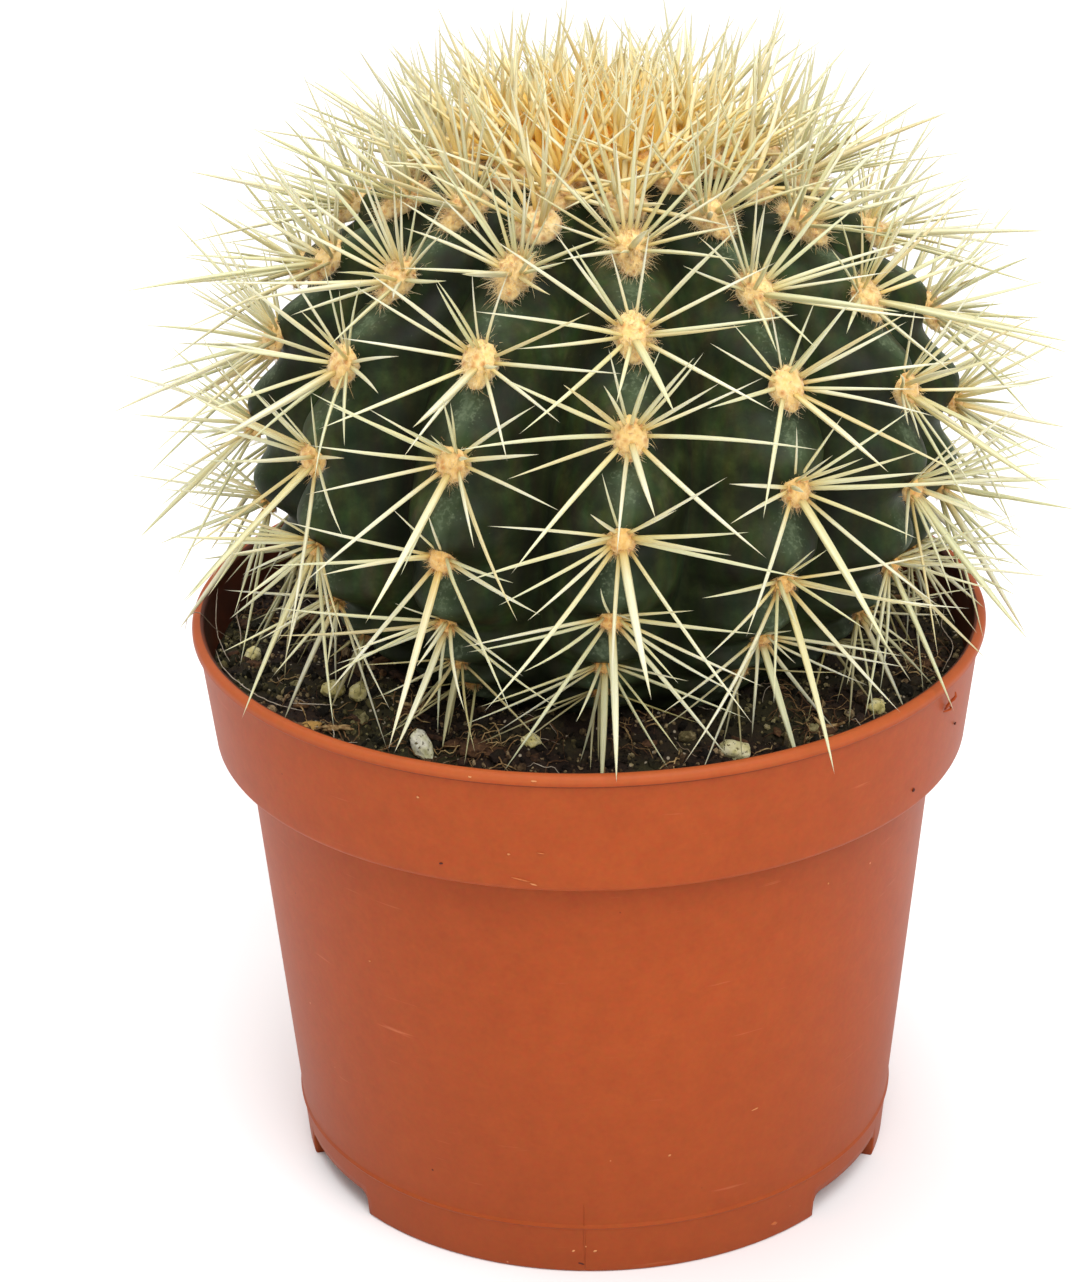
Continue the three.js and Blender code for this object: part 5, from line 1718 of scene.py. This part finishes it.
pumice, tree, whiteness = new_material("stained_pumice", "white")
place = add_node(tree, "TexCoord").outputs["Object"]
stain = add_node(tree, "TexNoise", {"Vector": place, "Scale": 1 / STAIN_PATCH, "Detail": 4})
yellow = add_node(tree, "ValToRGB", {"Fac": stain}, stops=[
    (0.3, linear("b0a256")), (0.5, linear("ddcd80")), (0.7, linear("f4eab4"))])
white = add_node(tree, "ValToRGB", {"Fac": stain}, stops=[
    (0.3, linear("c0bc8a")), (0.45, linear("eae6c0")), (0.6, linear("faf6e0"))])
body = add_node(tree, "Mix", {FACTOR: whiteness, COLOUR_A: yellow,
                              COLOUR_B: white}, data_type="RGBA")
is_tan = add_node(tree, "MapRange", {"Value": whiteness, "From Min": -0.5, "From Max": -1})
tanned = add_node(tree, "Mix", {FACTOR: is_tan, COLOUR_A: body,
                                COLOUR_B: linear("bd9150")}, data_type="RGBA")
pores = add_node(tree, "TexNoise", {"Vector": place, "Scale": 1 / PORE_SIZE, "Detail": 4,
                                    "Roughness": 0.6})
# Painted shade: the pores are coloured dark.
painted_pore_shade = add_node(tree, "MapRange", {"Value": pores, "From Min": 0.36, "From Max": 0.42})
pitted = add_node(tree, "Mix", {FACTOR: painted_pore_shade, COLOUR_A: linear("6b5f36"),
                                COLOUR_B: tanned}, data_type="RGBA")
relief = add_node(tree, "Bump", {"Height": pores, "Strength": 0.7, "Distance": 0.25 * MM})
shader = add_node(tree, "BsdfPrincipled", {
    "Base Color": pitted, "Roughness": 0.9, "IOR": 1.5,
    "Specular IOR Level": 0.3, "Normal": relief})
add_node(tree, "OutputMaterial", {"Surface": shader})
print("nodes of the pumice:", len(tree.nodes))

# %% [markdown]
# Each pebble is a finely divided ball, flattened like its solid, with wide dents for its form and
# small pits for its larger pores. The pits are real geometry, so they also show at the outline.

# %% Pumice pebbles
PEBBLES = (  # x, y, longest radius, breadth as a share of it, lean, turn, and from -1 tan to 1 white
    (-37.8, -17.5, 1.9, 0.86, 10, 20, 0.1), (-33.8, -20.3, 2.0, 0.8, -8, 75, 0.15),
    (-24, -36.5, 2.7, 0.54, 52, 136, 1), (20.4, -39, 2.5, 0.66, 6, -15, 0.45),
    (-40.5, -28.6, 1.6, 0.8, 8, 10, -1), (41.8, -24.4, 1.8, 0.75, 0, 45, 0.1),
    (-8.6, -37.8, 1.6, 0.8, 0, 0, 0.1), (-51, -2.5, 1.7, 0.8, 0, 80, 0.2),
    (12, 45, 2.1, 0.8, 0, 30, 0.3), (-33, 38, 2, 0.8, 0, -40, 0.2))
PEBBLE_FLATNESS = 0.72
PEBBLE_SINK = 0.35

ball, ball_faces = ball_net(4)
for i, (x, y, radius, breadth, lean, turn, white_share) in enumerate(PEBBLES):
    pebble = np.zeros_like(ball)
    for j, point in enumerate(ball):
        seed = Vector(point) * 1.3 + Vector((i * 7, 0, 0))
        dents = 0.24 * noise.noise(seed) + 0.09 * noise.noise(seed * 2.7)
        pit = max(0, 0.35 - noise.voronoi(seed * 3)[0][0]) * 0.3
        pebble[j] = point * (0.95 + dents - pit)
    pebble *= radius * np.array([1, breadth, min(breadth, PEBBLE_FLATNESS)])
    turned = (Matrix.Rotation(math.radians(turn), 3, "Z")
              @ Matrix.Rotation(-math.radians(lean), 3, "Y"))
    pebble = pebble @ np.array(turned.transposed())
    z = float(soil_top(math.hypot(x, y))) + radius * PEBBLE_FLATNESS * (1 - 2 * PEBBLE_SINK)
    pebble_net = Net("white")
    pebble_net.add(pebble + (x, y, z), ball_faces, white=white_share)
    piece = add_piece(f"pumice_pebble_{i + 1}", pebble_net, pumice)
    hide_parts(f"pumice_grain_{i + 1}")

# %% [markdown]
# ## Marks on the pot
#
# A pot that has been handled carries small marks: pale nicks where the plastic was bruised, specks
# of soil and lime, and short scratches on the collar. They are thin flakes laid on the wall, because
# a mark made as geometry stays sharp at any distance. All of them are matte, and their colour runs
# from dark soil to pale, bruised plastic.

# %% Pot marks
POT_MARKS = (  # azimuth, height, length, breadth, slope in degrees, and 1 for pale or 0 for dark
    (-10, 72.6, 4.4, 0.3, -12, 0.75), (-8.2, 71.9, 1.6, 0.4, -14, 0.9), (-7, 77.2, 1.5, 0.2, -5, 0.8),
    (-11.5, 76.7, 0.6, 0.45, 0, 0.9), (-21.5, 73.7, 0.9, 0.6, 20, 0.1), (-24, 84.2, 0.6, 0.5, 0, 1),
    (-16, 89.2, 0.7, 0.4, 0, 1), (-7.5, 89.3, 1.1, 0.35, 0, 1), (54, 74.2, 0.9, 0.8, 0, 0.1),
    (66.5, 79.7, 0.7, 0.6, 0, 0.1), (13, 21, 0.8, 0.6, 30, 0.9), (29, 26, 1.8, 0.35, 8, 0.9),
    (-4.4, 4, 0.8, 0.5, 40, 1), (-2.2, 4.9, 0.6, 0.45, -30, 1), (-0.4, 4, 0.9, 0.5, 20, 1),
    (-3, 1.6, 1.5, 0.4, -15, 0), (35.5, 2.6, 1.9, 0.9, -10, 0.7), (41, 62, 0.5, 0.4, 0, 0.9),
    (-40, 50, 0.6, 0.4, 0, 0.85), (-31, 15, 0.5, 0.5, 0, 0.15), (160, 76, 5, 0.25, 10, 0.75),
    (205, 40, 0.8, 0.6, 0, 0.1), (120, 30, 1.4, 0.3, -20, 0.9), (250, 65, 0.7, 0.5, 0, 0.9))
MARK_THICKNESS = 0.07
MARK_SIDES = 12
MARK_BLOTCH = 0.3 * MM


def wall_radius(z):
    """Outer radius of the pot at a height."""
    if z < COLLAR_FOOT_Z:
        return body_radius(z)
    share = (z - COLLAR_FOOT_Z) / (POT_HEIGHT - LIP_HEIGHT - COLLAR_FOOT_Z)
    return COLLAR_FOOT_RADIUS + (COLLAR_TOP_RADIUS - COLLAR_FOOT_RADIUS) * min(share, 1)


def on_wall(azimuth, z, across, up, out):
    """A point on the pot's wall, by millimetres across and up from a place, and out of the wall."""
    on_bead = z + up > POT_HEIGHT - LIP_HEIGHT
    radius = wall_radius(z + up) + (RIM_RADIUS - COLLAR_TOP_RADIUS) * on_bead
    return outward(azimuth + math.degrees(across / radius)) * (radius + out) + UP * (z + up)


random = np.random.default_rng(51)
mark_net = Net("tone")
for azimuth, z, length, breadth, slope, tone in POT_MARKS:
    tilt = math.radians(slope)
    edge = []
    for turn in np.arange(MARK_SIDES) * math.pi / (MARK_SIDES / 2):
        along = 0.42 * length * math.cos(turn) * random.uniform(0.75, 1.1)
        over = 0.4 * breadth * math.sin(turn) * random.uniform(0.6, 1.2)
        edge.append((along * math.cos(tilt) - over * math.sin(tilt),
                     along * math.sin(tilt) + over * math.cos(tilt)))
    top = [on_wall(azimuth, z, a * 0.7, u * 0.7, MARK_THICKNESS) for a, u in edge]
    low = [on_wall(azimuth, z, a, u, -MARK_THICKNESS) for a, u in edge]
    caps = [on_wall(azimuth, z, 0, 0, MARK_THICKNESS * 1.3), on_wall(azimuth, z, 0, 0, -0.3)]
    faces = closed_faces(2, MARK_SIDES, flip=True)
    mark_net.add(np.array([*top, *low, *caps]), faces, tone=tone)

lime_and_soil, tree, tone = new_material("lime_specks_and_bruised_plastic", "tone")
place = add_node(tree, "TexCoord").outputs["Object"]
blotch = add_node(tree, "TexNoise", {"Vector": place, "Scale": 1 / MARK_BLOTCH, "Detail": 2})
shade = add_node(tree, "Math", {0: blotch, 1: 0.3}, operation="MULTIPLY")
mixed_tone = add_node(tree, "Math", {0: tone, 1: shade}, operation="SUBTRACT")
colour = add_node(tree, "ValToRGB", {"Fac": mixed_tone}, stops=[
    (0, linear("4a1c10")), (0.3, linear("8a3a1e")), (0.6, linear("b4602f")),
    (0.85, linear("c98a58"))])
shader = add_node(tree, "BsdfPrincipled", {"Base Color": colour,
                                           "Roughness": 0.7, "Specular IOR Level": 0.3})
add_node(tree, "OutputMaterial", {"Surface": shader})
add_piece("pot_marks", mark_net, lime_and_soil)

# %% [markdown]
# The seam is a hair-thin ridge that runs up from the foot across the parting line, where two halves
# of the mould met. The burr is a curl of plastic that was lifted out of the collar by a knock. Both
# are the pot's own plastic.

# %% Seam and burr
SEAM_AZIMUTH = -2.3
SEAM_HEIGHTS = np.linspace(0.6, 13, 24)
SEAM_RADIUS = 0.13
CURL_RADIUS = 0.28
CURL_PLACE = (60.5, 85)  # azimuth and height
CURL = ((-0.3, -0.15), (0.4, 0.15), (1.1, 0.5), (1.7, 0.95), (2.2, 1.2), (2.9, 1.0))  # up and out
TEAR_RADIUS = 0.22
TEAR_PLACE = (60.9, 84.6)
TEAR = ((-1, -0.1), (-0.4, 0.2), (0.2, 0.5), (0.7, 0.4), (1.2, -0.05))  # across and out

seam_net = Net()
add_tube(seam_net, [on_wall(SEAM_AZIMUTH, z, 0, 0, 0.0) for z in SEAM_HEIGHTS], SEAM_RADIUS)
add_tube(seam_net, [on_wall(*CURL_PLACE, 0, up, out) for up, out in CURL], CURL_RADIUS)
add_tube(seam_net, [on_wall(*TEAR_PLACE, across, 0, out) for across, out in TEAR], TEAR_RADIUS)
add_piece("mould_seam_and_burr", seam_net, pot_plastic)
